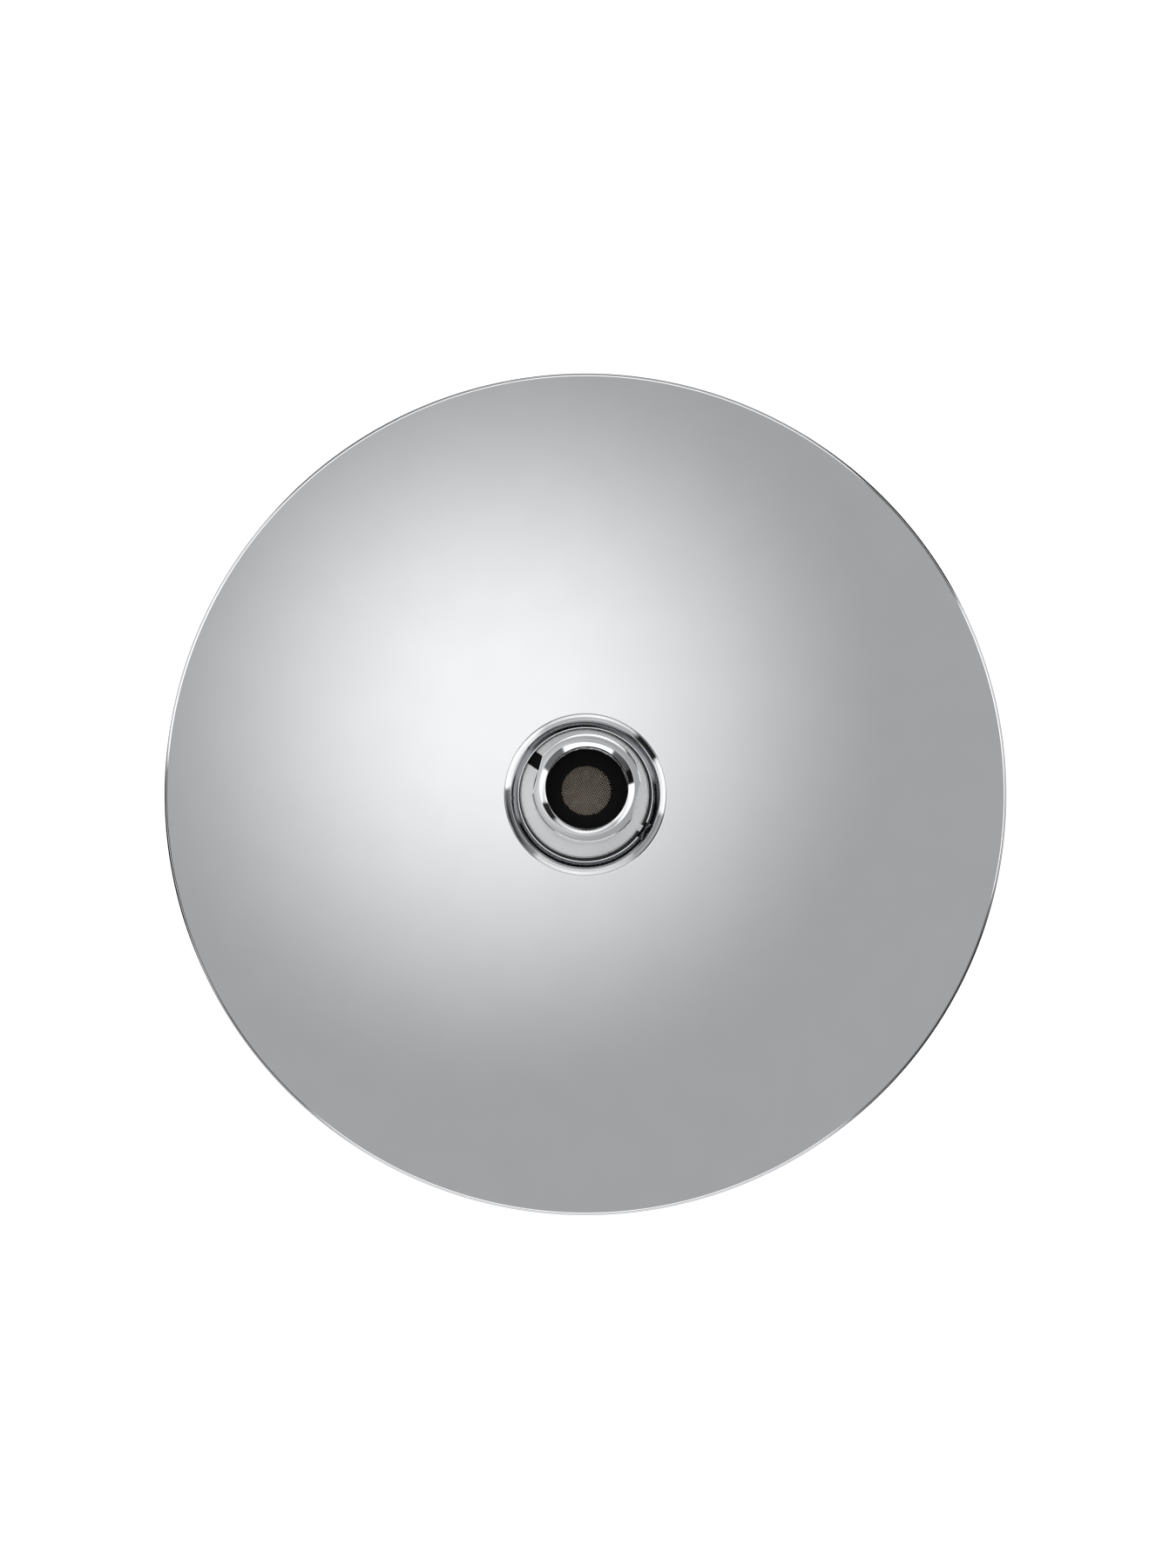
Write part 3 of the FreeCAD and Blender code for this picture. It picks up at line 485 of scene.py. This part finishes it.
def makeCollar(s):
    # The section carried once round Z. In the notch's window the lip's stretch is pushed back to one upright
    # flat wall: r = notch radius / cos(angle from the window's middle).
    notchRadius = s["lipRadius"] + s["notchDepth"]
    slope = (s["top"] - s["lipTop"]) / (s["bevelRadius"] - s["lipRadius"])
    notchTop = s["lipTop"] + s["notchDepth"] * slope
    fine, ridge = s["fineRound"], s["ridgeRound"]
    outside = softened([
        (s["bore"], s["skirtBottom"], s["skirtRound"]), (s["skirtRadius"], s["skirtBottom"], s["skirtRound"]),
        (s["skirtRadius"], s["land"], fine), (s["radius"], s["land"], ridge),
        (s["radius"], s["top"] - s["fall"], s["round"]), (s["bevelRadius"], s["top"], ridge),
        (notchRadius, notchTop, 0), (notchRadius, s["lipUnder"], 0), (s["bore"], s["lipUnder"], fine),
    ], s["cornerSteps"])
    # The lip's own stretch of the section, between the two places where the notch's wall meets it
    landHeight = s["lipTop"] + s["lipLand"] * slope
    lip = softened([
        (notchRadius, notchTop, 0), (s["lipRadius"] + s["lipLand"], landHeight, s["lipRound"]),
        (s["lipRadius"], landHeight, fine), (s["lipRadius"], s["lipUnder"], fine),
        (notchRadius, s["lipUnder"], 0),
    ], s["lipSteps"])
    cut = int(np.argmin(np.hypot(outside[:, 0] - notchRadius, outside[:, 1] - notchTop)))
    section = np.concatenate([outside[:cut], lip, outside[cut + 2:]])
    inLip = slice(cut, cut + len(lip))
    window = math.asin(s["notchWidth"] / 2 / notchRadius)
    middle = math.radians(s["notchAzimuth"])
    angles = turnWith(s["turnSteps"], middle + np.array([-window - seam, -window, window, window + seam]))
    fromMiddle = turnApart(angles, middle)
    inWindow = fromMiddle < window + seam / 2
    radii, heights = spread(section, angles)
    wallRadii = notchRadius / np.cos(np.minimum(fromMiddle, window))
    wallHeights = np.linspace(notchTop, s["lipUnder"], len(lip))[None]
    radii[:, inLip] = np.where(inWindow, wallRadii, radii[:, inLip])
    heights[:, inLip] = np.where(inWindow, wallHeights, heights[:, inLip])
    shells = [closedShell(revolved(radii, heights, angles))]
    return makePiece("collar_nut", shells, chromeOnAbs, "head", "chrome_abs", "collar")


makeCollar(collar)

# Retaining ring: split acetal ring with parallel slot sides and a key tab, a little off centre
ring = {
    "outer": 14.68, "top": 29.2, "step": 28.1, "flange": 15.6, "bottom": 25.2, "ballRadius": 12.5,
    "slotWidth": 3.35, "slotAzimuth": 145.6, "keyWidth": 1.7, "keyReach": 0.85, "keyAzimuth": 328.4,
    "shift": 0.35, "shiftAzimuth": 127.0,
    "stepRound": 0.05, "cupRound": 0.12, "topRound": 0.18, "flangeRound": 0.2,
    "turnSteps": 240, "cornerSteps": 4, "cupSteps": 8, "riserMargin": 0.01,
    # Painted shade in the gap below the collar's lip: the ring's colour blends there to a near black
    "gapFade": 0.4, "paintedShadeStart": 0.2, "paintedShadeBlend": 0.1, "paintedShade": "#121110",
}


def ringShift(s):
    # How far the loose ring lies off the collar's axis: (shift cos a, shift sin a, 0)
    drift = math.radians(s["shiftAzimuth"])
    return s["shift"] * np.array([math.cos(drift), math.sin(drift), 0])


def darkenGap(material, s):
    # Painted shade in the gap below the collar's lip: the colour blends to a near black where the
    # distance from the ring's own centre passes the upper step's radius by a set margin, and within
    # gapFade below the step's top.
    tree = material.node_tree
    shader = tree.nodes["Principled BSDF"]
    onPiece = addNode(tree, "TexCoord").outputs["Object"]
    place = addNode(tree, "VectorMath", {0: onPiece, 1: ringShift(s) * mm}, operation="SUBTRACT")
    flat = addNode(tree, "VectorMath", {0: place.outputs[0], 1: (1, 1, 0)}, operation="MULTIPLY")
    away = addNode(tree, "VectorMath", {0: flat.outputs[0]}, operation="LENGTH")
    paintedShadeFrom = s["outer"] + s["paintedShadeStart"]
    outside = addNode(tree, "MapRange", {"Value": away.outputs["Value"], "From Min": paintedShadeFrom * mm,
                                         "From Max": (paintedShadeFrom + s["paintedShadeBlend"]) * mm})
    height = addNode(tree, "SeparateXYZ", {"Vector": place.outputs[0]}).outputs["Z"]
    below = addNode(tree, "MapRange", {"Value": height, "From Min": s["top"] * mm,
                                       "From Max": (s["top"] - s["gapFade"]) * mm})
    share = addNode(tree, "Math", {0: outside.outputs[0], 1: below.outputs[0]}, operation="MULTIPLY")
    before = shader.inputs["Base Color"].links[0].from_socket
    tint = addNode(tree, "Mix", {0: share.outputs[0], 6: before, 7: linearColour(s["paintedShade"])},
                   data_type="RGBA")
    tree.links.new(tint.outputs[2], shader.inputs["Base Color"])


def makeRetainingRing(s):
    # The section carried round Z from one side of the slot to the other, then moved off the axis
    lowAngle = math.degrees(math.asin((s["bottom"] - ballHeight) / s["ballRadius"]))
    highAngle = math.degrees(math.asin((s["top"] - ballHeight) / s["ballRadius"]))
    cup = arcCorners((0, ballHeight), s["ballRadius"], highAngle, lowAngle, s["cupSteps"])
    corners = [
        (s["flange"], s["bottom"], s["flangeRound"]), (s["flange"], s["step"], s["stepRound"]),
        (s["outer"], s["step"], s["stepRound"]), (s["outer"], s["top"], s["topRound"]),
        (cup[0][0], cup[0][1], s["cupRound"]),
    ] + cup[1:]
    section = softened(corners, s["cornerSteps"])
    # The riser between the two steps, with its roundings, is what moves out to make the key tab
    riserFrom = s["outer"] - s["topRound"] - s["riserMargin"]
    riserTo = s["outer"] + s["stepRound"] + s["riserMargin"]
    isRiser = (section[:, 0] > riserFrom) & (section[:, 0] < riserTo)
    isRiser &= section[:, 1] > s["step"] - s["riserMargin"]
    # share runs from 0 to 1, once round from one slot side to the other. Each side stays half a slot's width
    # from the plane through the slot's middle: angle off it = asin(half width / r).
    half = np.arcsin(s["slotWidth"] / 2 / section[:, 0])[None]
    slot, key = math.radians(s["slotAzimuth"]), math.radians(s["keyAzimuth"])
    keyHalf = math.asin(s["keyWidth"] / 2 / (s["outer"] + s["keyReach"]))
    keyEdges = key - slot + np.array([-keyHalf - seam, -keyHalf, keyHalf, keyHalf + seam])
    share = np.concatenate([np.linspace(0, 1, s["turnSteps"] + 1), keyEdges / (2 * math.pi)])
    share = np.sort(share)[:, None]
    angles = slot + half + share * (2 * math.pi - 2 * half)
    inKey = turnApart(slot + share * 2 * math.pi, key) < keyHalf + seam / 2
    radii = section[None, :, 0] + np.where(inKey & isRiser[None], s["keyReach"], 0.0)
    shells = [closedBar(revolved(radii, section[None, :, 1], angles) + ringShift(s))]
    return makePiece("split_ring", shells, greyAcetal, "head", "acetal_grey", "retaining_ring")


makeRetainingRing(ring)
# Painted shade: the ring darkens to a near black in the gap below the collar's lip
darkenGap(greyAcetal, ring)

# Connector: ball, neck and threaded socket. Heights are above the ball's centre.
connector = {
    "ballRadius": 12.0, "mouthDrop": 9.0, "grooveLow": 6.1, "grooveHigh": 3.9, "grooveInside": 9.192,
    "neckRadius": 9.3, "shoulderRise": 1.2, "flangeRadius": 12.36, "top": 19.9835,
    "edgeRound": 0.45, "edgeDrop": 0.507, "flatRound": 0.2, "fineRound": 0.1, "breakRound": 0.15,
    "mouthRound": 0.2, "edgeSteps": 6, "lowBallSteps": 6, "ballSteps": 30, "sharpAngle": 17,
    "entryRadius": 10.7, "entryDepth": 0.8, "threadRadius": 9.315, "reliefTop": 12.2835,
    "reliefRadius": 9.65, "socketFloor": 9.5835, "pocketRadius": 6.9, "pocketFloor": 5.5835,
    "waterway": 5.0, "flatsAcross": 23.0, "flatsAzimuth": 165.0, "flatsAbove": 0.5, "leastCosine": 0.1,
    "tilt": 5.0, "tiltAzimuth": 78.0, "threadPitch": 1.814, "threadDepth": 1.16, "threadStart": 2.2,
    "threadEnd": 0.05, "threadFade": 0.9, "threadRows": 46, "turnSteps": 360,
}


def tilted(points):
    # Turns points about the ball's centre by the connector's tilt: Rodrigues' formula on a level axis
    azimuth, turn = math.radians(connector["tiltAzimuth"]), math.radians(connector["tilt"])
    axis = np.array([-math.sin(azimuth), math.cos(azimuth), 0.0])
    along = (points @ axis)[..., None] * axis
    turned = points * math.cos(turn) + np.cross(axis, points) * math.sin(turn) + along * (1 - math.cos(turn))
    return turned + np.array([0.0, 0.0, ballHeight])


def onBall(height):
    # Degrees up from the ball's equator to a height on its surface: asin(height / radius)
    return math.degrees(math.asin(height / connector["ballRadius"]))


def makeConnector(s):
    # The section carried once round Z, with the thread and the two flats worked into it, then tilted
    ball = s["ballRadius"]
    neckHeight = math.sqrt(ball ** 2 - s["neckRadius"] ** 2)
    shoulder = neckHeight + s["shoulderRise"]
    entryHeight = s["top"] - s["entryDepth"]
    threadTop, threadBottom = entryHeight - s["threadStart"], s["reliefTop"] + s["threadEnd"]
    threadHeights = np.linspace(threadTop, threadBottom, s["threadRows"])
    fine, edgeBreak, mouth = s["fineRound"], s["breakRound"], s["mouthRound"]
    corners = [(s["waterway"], -s["mouthDrop"], mouth)]
    corners += arcCorners((0, 0), ball, -onBall(s["mouthDrop"]), -onBall(s["grooveLow"]), s["lowBallSteps"])
    corners += [(s["grooveInside"], -s["grooveLow"], fine), (s["grooveInside"], -s["grooveHigh"], fine)]
    corners += arcCorners((0, 0), ball, -onBall(s["grooveHigh"]), onBall(neckHeight), s["ballSteps"])
    corners += [
        (s["flangeRadius"], shoulder, edgeBreak),
        (s["flangeRadius"], s["top"] - s["edgeDrop"], s["edgeRound"]),
        (s["entryRadius"], s["top"], edgeBreak), (s["threadRadius"], entryHeight, mouth),
    ]
    corners += [(s["threadRadius"], height, 0) for height in threadHeights]
    corners += [
        (s["reliefRadius"], s["reliefTop"], fine), (s["reliefRadius"], s["socketFloor"], mouth),
        (s["pocketRadius"], s["socketFloor"], fine), (s["pocketRadius"], s["pocketFloor"], fine),
        (s["waterway"], s["pocketFloor"], fine),
    ]
    section = softened(corners, s["edgeSteps"])
    # The flats' corners on the flange get angles of their own, so that they stay crisp
    corner = math.acos(s["flatsAcross"] / 2 / s["flangeRadius"])
    normal = math.radians(s["flatsAzimuth"])
    edges = [normal + side * math.pi + sign * (corner + gap) for side in (0, 1) for sign in (-1, 1)
             for gap in (-2 * seam, 2 * seam)]
    angles = turnWith(s["turnSteps"], edges)
    radii, heights = spread(section, angles)
    # Thread: r = crest + depth (1 - cos p) / 2, with the phase p one turn for each pitch of height
    phase = 2 * math.pi * heights / s["threadPitch"] - angles
    fade = np.clip(np.minimum(threadTop - heights, heights - s["reliefTop"]) / s["threadFade"], 0, 1)
    isThread = np.abs(section[None, :, 0] - s["threadRadius"]) < sameLength
    radii += np.where(isThread, fade * s["threadDepth"] * (1 - np.cos(phase)) / 2, 0.0)
    # Flats: above the neck no radius passes (half the width across them) / cos(angle from their normal).
    # The underside's last point then slides along its own slope to that radius, and the crown's outer edge
    # is an arc again, tangent to the crown's slope and to the wall below it: r = wall - round (1 - cos a).
    nearest = s["flatsAcross"] / 2 / np.maximum(np.abs(np.cos(angles - normal)), s["leastCosine"])
    isOutside = (section[:, 0] > s["flatsAcross"] / 2) & (section[:, 1] > neckHeight + s["flatsAbove"])
    radii[:, isOutside] = np.minimum(radii[:, isOutside], nearest)
    shoulderEnd = int(np.argmin(np.where(isOutside, section[:, 1], np.inf)))
    rise = s["shoulderRise"] / (s["flangeRadius"] - s["neckRadius"])
    heights[:, shoulderEnd] = neckHeight + rise * (radii[:, shoulderEnd] - s["neckRadius"])
    crownEnd = int(np.argmax(np.where(isOutside, section[:, 1], -np.inf)))
    slope = s["edgeDrop"] / (s["flangeRadius"] - s["entryRadius"])
    wall = np.minimum(s["flangeRadius"], nearest)
    rounding = np.where(nearest < s["flangeRadius"], s["flatRound"], s["edgeRound"])
    turn = np.linspace(0, math.pi / 2 - math.atan(slope), s["edgeSteps"] + 1)[None]
    middleHeight = s["top"] - slope * (wall - rounding - s["entryRadius"]) - rounding * math.hypot(1, slope)
    edge = slice(crownEnd - s["edgeSteps"], crownEnd + 1)
    radii[:, edge] = wall - rounding * (1 - np.cos(turn))
    heights[:, edge] = middleHeight + rounding * np.sin(turn)
    shells = [closedShell(tilted(revolved(radii, heights, angles)))]
    return makePiece("ball_and_socket", shells, chromeOnBrass, "connector", "chrome_brass", "ball_connector",
                     sharpAngle=s["sharpAngle"])


makeConnector(connector)

# Washer and strainer at the bottom of the socket
washer = {
    "bore": 5.65, "radius": 9.5, "bottom": 9.5835, "wall": 2.3, "meshHeight": 1.15, "meshRadius": 6.44,
    "meshSlot": 0.19, "round": 0.3, "boreRound": 0.1, "slotRound": 0.05, "turnSteps": 160, "cornerSteps": 5,
}
weave = {
    "radius": 6.4, "pitch": 0.43, "wire": 0.175, "wave": 0.07, "azimuth": 27.0,
    "sides": 6, "stepsPerPitch": 4, "leastSteps": 4, "sharpAngle": 70,
}


def makeWasher(s):
    # The section carried once round Z, with a slot in the bore's wall that holds the strainer
    middle, top = s["bottom"] + s["meshHeight"], s["bottom"] + s["wall"]
    slotTop, slotBottom, slotRound = middle + s["meshSlot"], middle - s["meshSlot"], s["slotRound"]
    section = softened([
        (s["bore"], s["bottom"], s["boreRound"]), (s["radius"], s["bottom"], s["round"]),
        (s["radius"], top, s["round"]), (s["bore"], top, s["round"]),
        (s["bore"], slotTop, slotRound), (s["meshRadius"], slotTop, slotRound),
        (s["meshRadius"], slotBottom, slotRound), (s["bore"], slotBottom, slotRound),
    ], s["cornerSteps"])
    points, faces = turnedShell(section, s["turnSteps"])
    return makePiece("inlet_washer_ring", [(tilted(points), faces)], blackRubber, "connector", "black_rubber",
                     "inlet_washer")


def makeStrainer(s, level):
    # Each wire runs across the disc at one pitch from the next. Its height is wave * cos(pi * x / pitch),
    # opposite to its neighbours', so that it passes over and under the wires that cross it.
    shells = []
    half = int(s["radius"] / s["pitch"])
    angles = fullTurn(s["sides"])[:, 0]
    cosine, sine = math.cos(math.radians(s["azimuth"])), math.sin(math.radians(s["azimuth"]))
    for direction in (0, 1):
        for number in range(-half, half + 1):
            offset = number * s["pitch"]
            reach = math.sqrt(s["radius"] ** 2 - offset ** 2)
            steps = max(s["leastSteps"], int(2 * reach / s["pitch"] * s["stepsPerPitch"]))
            along = np.linspace(-reach, reach, steps)[:, None]
            sign = (1 if number % 2 else -1) * (1 if direction else -1)
            wave = sign * s["wave"] * np.cos(math.pi * along / s["pitch"])
            side = offset + s["wire"] / 2 * np.cos(angles)[None]
            height = level + wave + s["wire"] / 2 * np.sin(angles)[None]
            along, side, height = np.broadcast_arrays(along, side, height)
            x, y = (along, side) if direction else (side, along)
            grid = np.stack([x * cosine - y * sine, x * sine + y * cosine, height], axis=-1)
            shells.append(closedBar(tilted(grid)))
    return makePiece("woven_strainer", shells, wovenSteel, "connector", "steel_mesh", "filter_mesh",
                     sharpAngle=s["sharpAngle"])


makeWasher(washer)
makeStrainer(weave, washer["bottom"] + washer["meshHeight"])

# The pieces inside keep their modelled form and take their real finish
insideFinishes = {
    "chamber_plate": innerAbs, "chamber_seal": blackRubber, "inlet_seal": blackRubber,
    "chamber_screws": screwSteel, "screw_seals": blackRubber, "water_spreader": whiteAcetal,
    "seat_washer": blackRubber, "ball_seat": blackAcetal, "ball_seal": blackRubber,
    "flow_regulator": blackAcetal,
}
for nodeName, finish in insideFinishes.items():
    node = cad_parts[nodeName]
    node.data.materials.clear()
    node.data.materials.append(finish)
print("inside pieces finished:", len(insideFinishes))

# Studio: a pale overcast ceiling with one broad soft light, then rings of pale walls with dark gaps between
# them, and an even pale ground below. Each wall starts at an angle from straight up and ends where the next
# one starts. Its levels are (azimuth in degrees, brightness). floorMirrored holds such levels for the floor,
# as the plating mirrors it.
studio = {
    "ceiling": 0.63, "lightGain": 0.95, "lightTilt": 12.5, "lightAzimuth": 135.0, "lightInner": 3.0,
    "lightOuter": 42.0,
    "highWall": {"start": 47.0, "blend": 3.0, "levels": [
        (0, 2.2), (26, 2.2), (28, 0.01), (47, 0.01), (50, 1.8), (66, 2.2), (175, 2.2), (177, 0.01),
        (194, 0.01), (197, 0.12), (228, 0.2), (232, 2.2), (306, 2.2), (310, 0.25), (344, 0.25),
        (347, 2.0), (360, 2.2)]},
    "middleWall": {"start": 61.0, "blend": 2.0, "levels": [
        (0, 1.6), (24, 1.2), (28, 0.03), (47, 0.03), (52, 0.6), (80, 0.9), (104, 0.7), (122, 0.7),
        (132, 1.4), (173, 1.6), (177, 0.3), (196, 0.2), (228, 0.4), (233, 1.0), (290, 1.15), (306, 0.9),
        (311, 0.45), (344, 0.42), (348, 1.5), (360, 1.6)]},
    "lowerWall": {"start": 66.5, "blend": 1.0, "levels": [
        (0, 2.0), (20, 1.8), (26, 1.5), (28, 0.02), (47, 0.02), (52, 1.1), (80, 1.8), (105, 1.5),
        (120, 1.2), (132, 2.0), (174, 2.2), (177, 0.25), (195, 0.05), (215, 0.1), (228, 0.4), (233, 1.25),
        (262, 1.6), (300, 1.05), (310, 0.6), (344, 0.6), (347, 1.8), (360, 2.0)]},
    "lowWall": {"start": 70.0, "blend": 2.5, "levels": [
        (0, 0.05), (8, 1.4), (24, 1.7), (44, 1.2), (58, 0.6), (76, 0.3), (86, 0.01), (118, 0.01),
        (124, 0.12), (144, 0.3), (152, 1.5), (206, 1.5), (212, 0.01), (360, 0.01)]},
    "skirting": {"start": 79.5, "blend": 1.5, "levels": [
        (0, 0.5), (26, 0.6), (30, 0.02), (50, 0.05), (60, 0.9), (100, 0.9), (125, 0.5), (136, 0.6),
        (140, 1.3), (172, 1.2), (178, 0.05), (198, 0.05), (204, 0.3), (230, 0.5), (238, 1.5), (304, 1.4),
        (312, 0.2), (320, 0.03), (340, 0.03), (350, 0.4), (360, 0.5)]},
    "ground": {"start": 93.0, "blend": 3.0, "levels": [(0, 0.9), (360, 0.9)]},
    "floorMirrored": [
        (0, 1.1), (26, 1.3), (30, 0.02), (50, 0.05), (60, 0.6), (100, 0.65), (122, 0.35), (134, 0.45),
        (140, 1.2), (172, 1.1), (178, 0.05), (198, 0.05), (204, 0.7), (232, 1.1), (238, 1.4), (304, 1.4),
        (312, 0.4), (320, 0.1), (340, 0.06), (346, 0.5), (352, 1.0), (360, 1.1)],
}


def addWalls(tree, direction, levels):
    # Brightness by azimuth, read off a ramp: share of a turn = atan2(y, x) / 2 pi. The ramp comes with two
    # stops, and all stops are there before the first gets its place.
    parts = addNode(tree, "SeparateXYZ", {"Vector": direction})
    angle = addNode(tree, "Math", {0: parts.outputs["Y"], 1: parts.outputs["X"]}, operation="ARCTAN2")
    turn = addNode(tree, "Math", {0: angle.outputs[0], 1: 2 * math.pi}, operation="DIVIDE")
    share = addNode(tree, "Math", {0: turn.outputs[0], 1: 1.0}, operation="FLOORED_MODULO")
    ramp = addNode(tree, "ValToRGB", {"Fac": share.outputs[0]})
    stops = ramp.color_ramp.elements
    brightest = max(level for _, level in levels)
    for _ in range(len(levels) - 2):
        stops.new(0.5)
    for stop, (azimuth, level) in zip(stops, levels):
        stop.position = azimuth / 360
        stop.color = [level / brightest] * 3 + [1.0]
    return addNode(tree, "Math", {0: ramp.outputs["Color"], 1: brightest}, operation="MULTIPLY").outputs[0]


def makeWorld(s):
    # The ceiling's level rises by lightGain towards the light's middle. Below it each wall takes over past its
    # own angle from straight up, which is arccos(z) of the direction.
    world = bpy.data.worlds.new("studio")
    bpy.context.scene.world = world
    world.use_nodes = True
    tree = world.node_tree
    tree.nodes.clear()
    direction = addNode(tree, "TexCoord").outputs["Generated"]
    tilt, azimuth = math.radians(s["lightTilt"]), math.radians(s["lightAzimuth"])
    towards = (math.sin(tilt) * math.cos(azimuth), math.sin(tilt) * math.sin(azimuth), math.cos(tilt))
    dot = addNode(tree, "VectorMath", {0: direction, 1: towards}, operation="DOT_PRODUCT")
    apart = addNode(tree, "Math", {0: dot.outputs["Value"]}, operation="ARCCOSINE")
    light = addNode(tree, "MapRange", {"Value": apart.outputs[0], "From Min": math.radians(s["lightInner"]),
                                       "From Max": math.radians(s["lightOuter"]),
                                       "To Min": s["ceiling"] + s["lightGain"], "To Max": s["ceiling"]},
                    interpolation_type="SMOOTHSTEP")
    height = addNode(tree, "SeparateXYZ", {"Vector": direction}).outputs["Z"]
    fromTop = addNode(tree, "Math", {0: height}, operation="ARCCOSINE").outputs[0]
    level = light.outputs[0]
    for name in ("highWall", "middleWall", "lowerWall", "lowWall", "skirting", "ground"):
        wall = s[name]
        isWall = addNode(tree, "MapRange", {"Value": fromTop, "From Min": math.radians(wall["start"]),
                                            "From Max": math.radians(wall["start"] + wall["blend"])},
                         interpolation_type="SMOOTHSTEP")
        brightness = addWalls(tree, direction, wall["levels"])
        level = addNode(tree, "Mix", {0: isWall.outputs[0], 2: level, 3: brightness}).outputs[0]
    # Where the camera looks past the floor it sees plain white
    direct = addNode(tree, "LightPath").outputs["Is Camera Ray"]
    strength = addNode(tree, "Mix", {0: direct, 2: level, 3: 1.0})
    background = addNode(tree, "Background", {"Color": (1, 1, 1, 1), "Strength": strength.outputs[0]})
    output = addNode(tree, "OutputWorld")
    tree.links.new(background.outputs[0], output.inputs["Surface"])


floorSheet = {
    "side": 6000.0, "paper": "#E4E4E4", "glow": 0.62, "shadeFrom": 99.0, "shadeTo": 150.0,
    "mirrorNear": 0.45, "mirrorFar": 1.0,
}


def makeFloor(f, s):
    # A wide plain sheet under the nozzle tips: white to the camera, with the object's shadow on it. From
    # below it is clear, and it lets the ground's light through to the spray face, as a glass table does.
    corners = np.array([(-1, -1, 0), (1, -1, 0), (1, 1, 0), (-1, 1, 0)]) * f["side"] / 2 * mm
    mesh = bpy.data.meshes.new("studio_floor")
    mesh.from_pydata(corners.tolist(), [], [(0, 1, 2, 3)])
    floor = bpy.data.objects.new("studio_floor", mesh)
    bpy.context.scene.collection.objects.link(floor)
    material = bpy.data.materials.new("white paper floor, matt")
    material.use_nodes = True
    tree = material.node_tree
    tree.nodes.clear()
    place = addNode(tree, "TexCoord").outputs["Object"]
    paths = addNode(tree, "LightPath").outputs
    direct = addNode(tree, "Math", {0: paths["Is Camera Ray"], 1: paths["Is Transmission Ray"]},
                     operation="MAXIMUM")
    paper = addNode(tree, "BsdfDiffuse", {"Color": linearColour(f["paper"])})
    glow = addNode(tree, "Emission", {"Color": (1, 1, 1, 1), "Strength": f["glow"]})
    bright = addNode(tree, "AddShader", {0: paper.outputs[0], 1: glow.outputs[0]})
    # Mirrored in the plating, the floor has levels of its own by azimuth. They are lower near the object,
    # where its shadow lies: times mirrorNear up to shadeFrom, rising to mirrorFar at shadeTo, in mm.
    away = addNode(tree, "VectorMath", {0: place}, operation="LENGTH")
    unshaded = addNode(tree, "MapRange", {"Value": away.outputs["Value"],
                                          "From Min": f["shadeFrom"] * mm, "From Max": f["shadeTo"] * mm,
                                          "To Min": f["mirrorNear"], "To Max": f["mirrorFar"]},
                       interpolation_type="SMOOTHSTEP")
    level = addNode(tree, "Math", {0: addWalls(tree, place, s["floorMirrored"]), 1: unshaded.outputs[0]},
                    operation="MULTIPLY")
    mirrored = addNode(tree, "Emission", {"Color": (1, 1, 1, 1), "Strength": level.outputs[0]})
    plain = addNode(tree, "MixShader", {0: direct.outputs[0], 1: paper.outputs[0], 2: bright.outputs[0]})
    whole = addNode(tree, "MixShader", {0: paths["Is Glossy Ray"], 1: plain.outputs[0],
                                        2: mirrored.outputs[0]})
    below = addNode(tree, "NewGeometry").outputs["Backfacing"]
    clear = addNode(tree, "BsdfTransparent")
    oneSided = addNode(tree, "MixShader", {0: below, 1: whole.outputs[0], 2: clear.outputs[0]})
    output = addNode(tree, "OutputMaterial")
    tree.links.new(oneSided.outputs[0], output.inputs["Surface"])
    mesh.materials.append(material)
    floor.visible_diffuse = False
    floor.visible_shadow = False


makeWorld(studio)
makeFloor(floorSheet, studio)

# Camera: straight down on the inlet side, a little off the axis, as the photograph has it
view = {"x": 0.591, "y": 2.461, "height": 638.3, "lens": 60.59, "sensor": 36.0}
camera = bpy.data.objects.new("camera", bpy.data.cameras.new("camera"))
camera.data.lens = view["lens"]
camera.data.sensor_width = view["sensor"]
camera.location = (view["x"] * mm, view["y"] * mm, view["height"] * mm)
bpy.context.scene.collection.objects.link(camera)
bpy.context.scene.camera = camera
bpy.context.scene.view_settings.view_transform = "Standard"
print("studio and camera set")
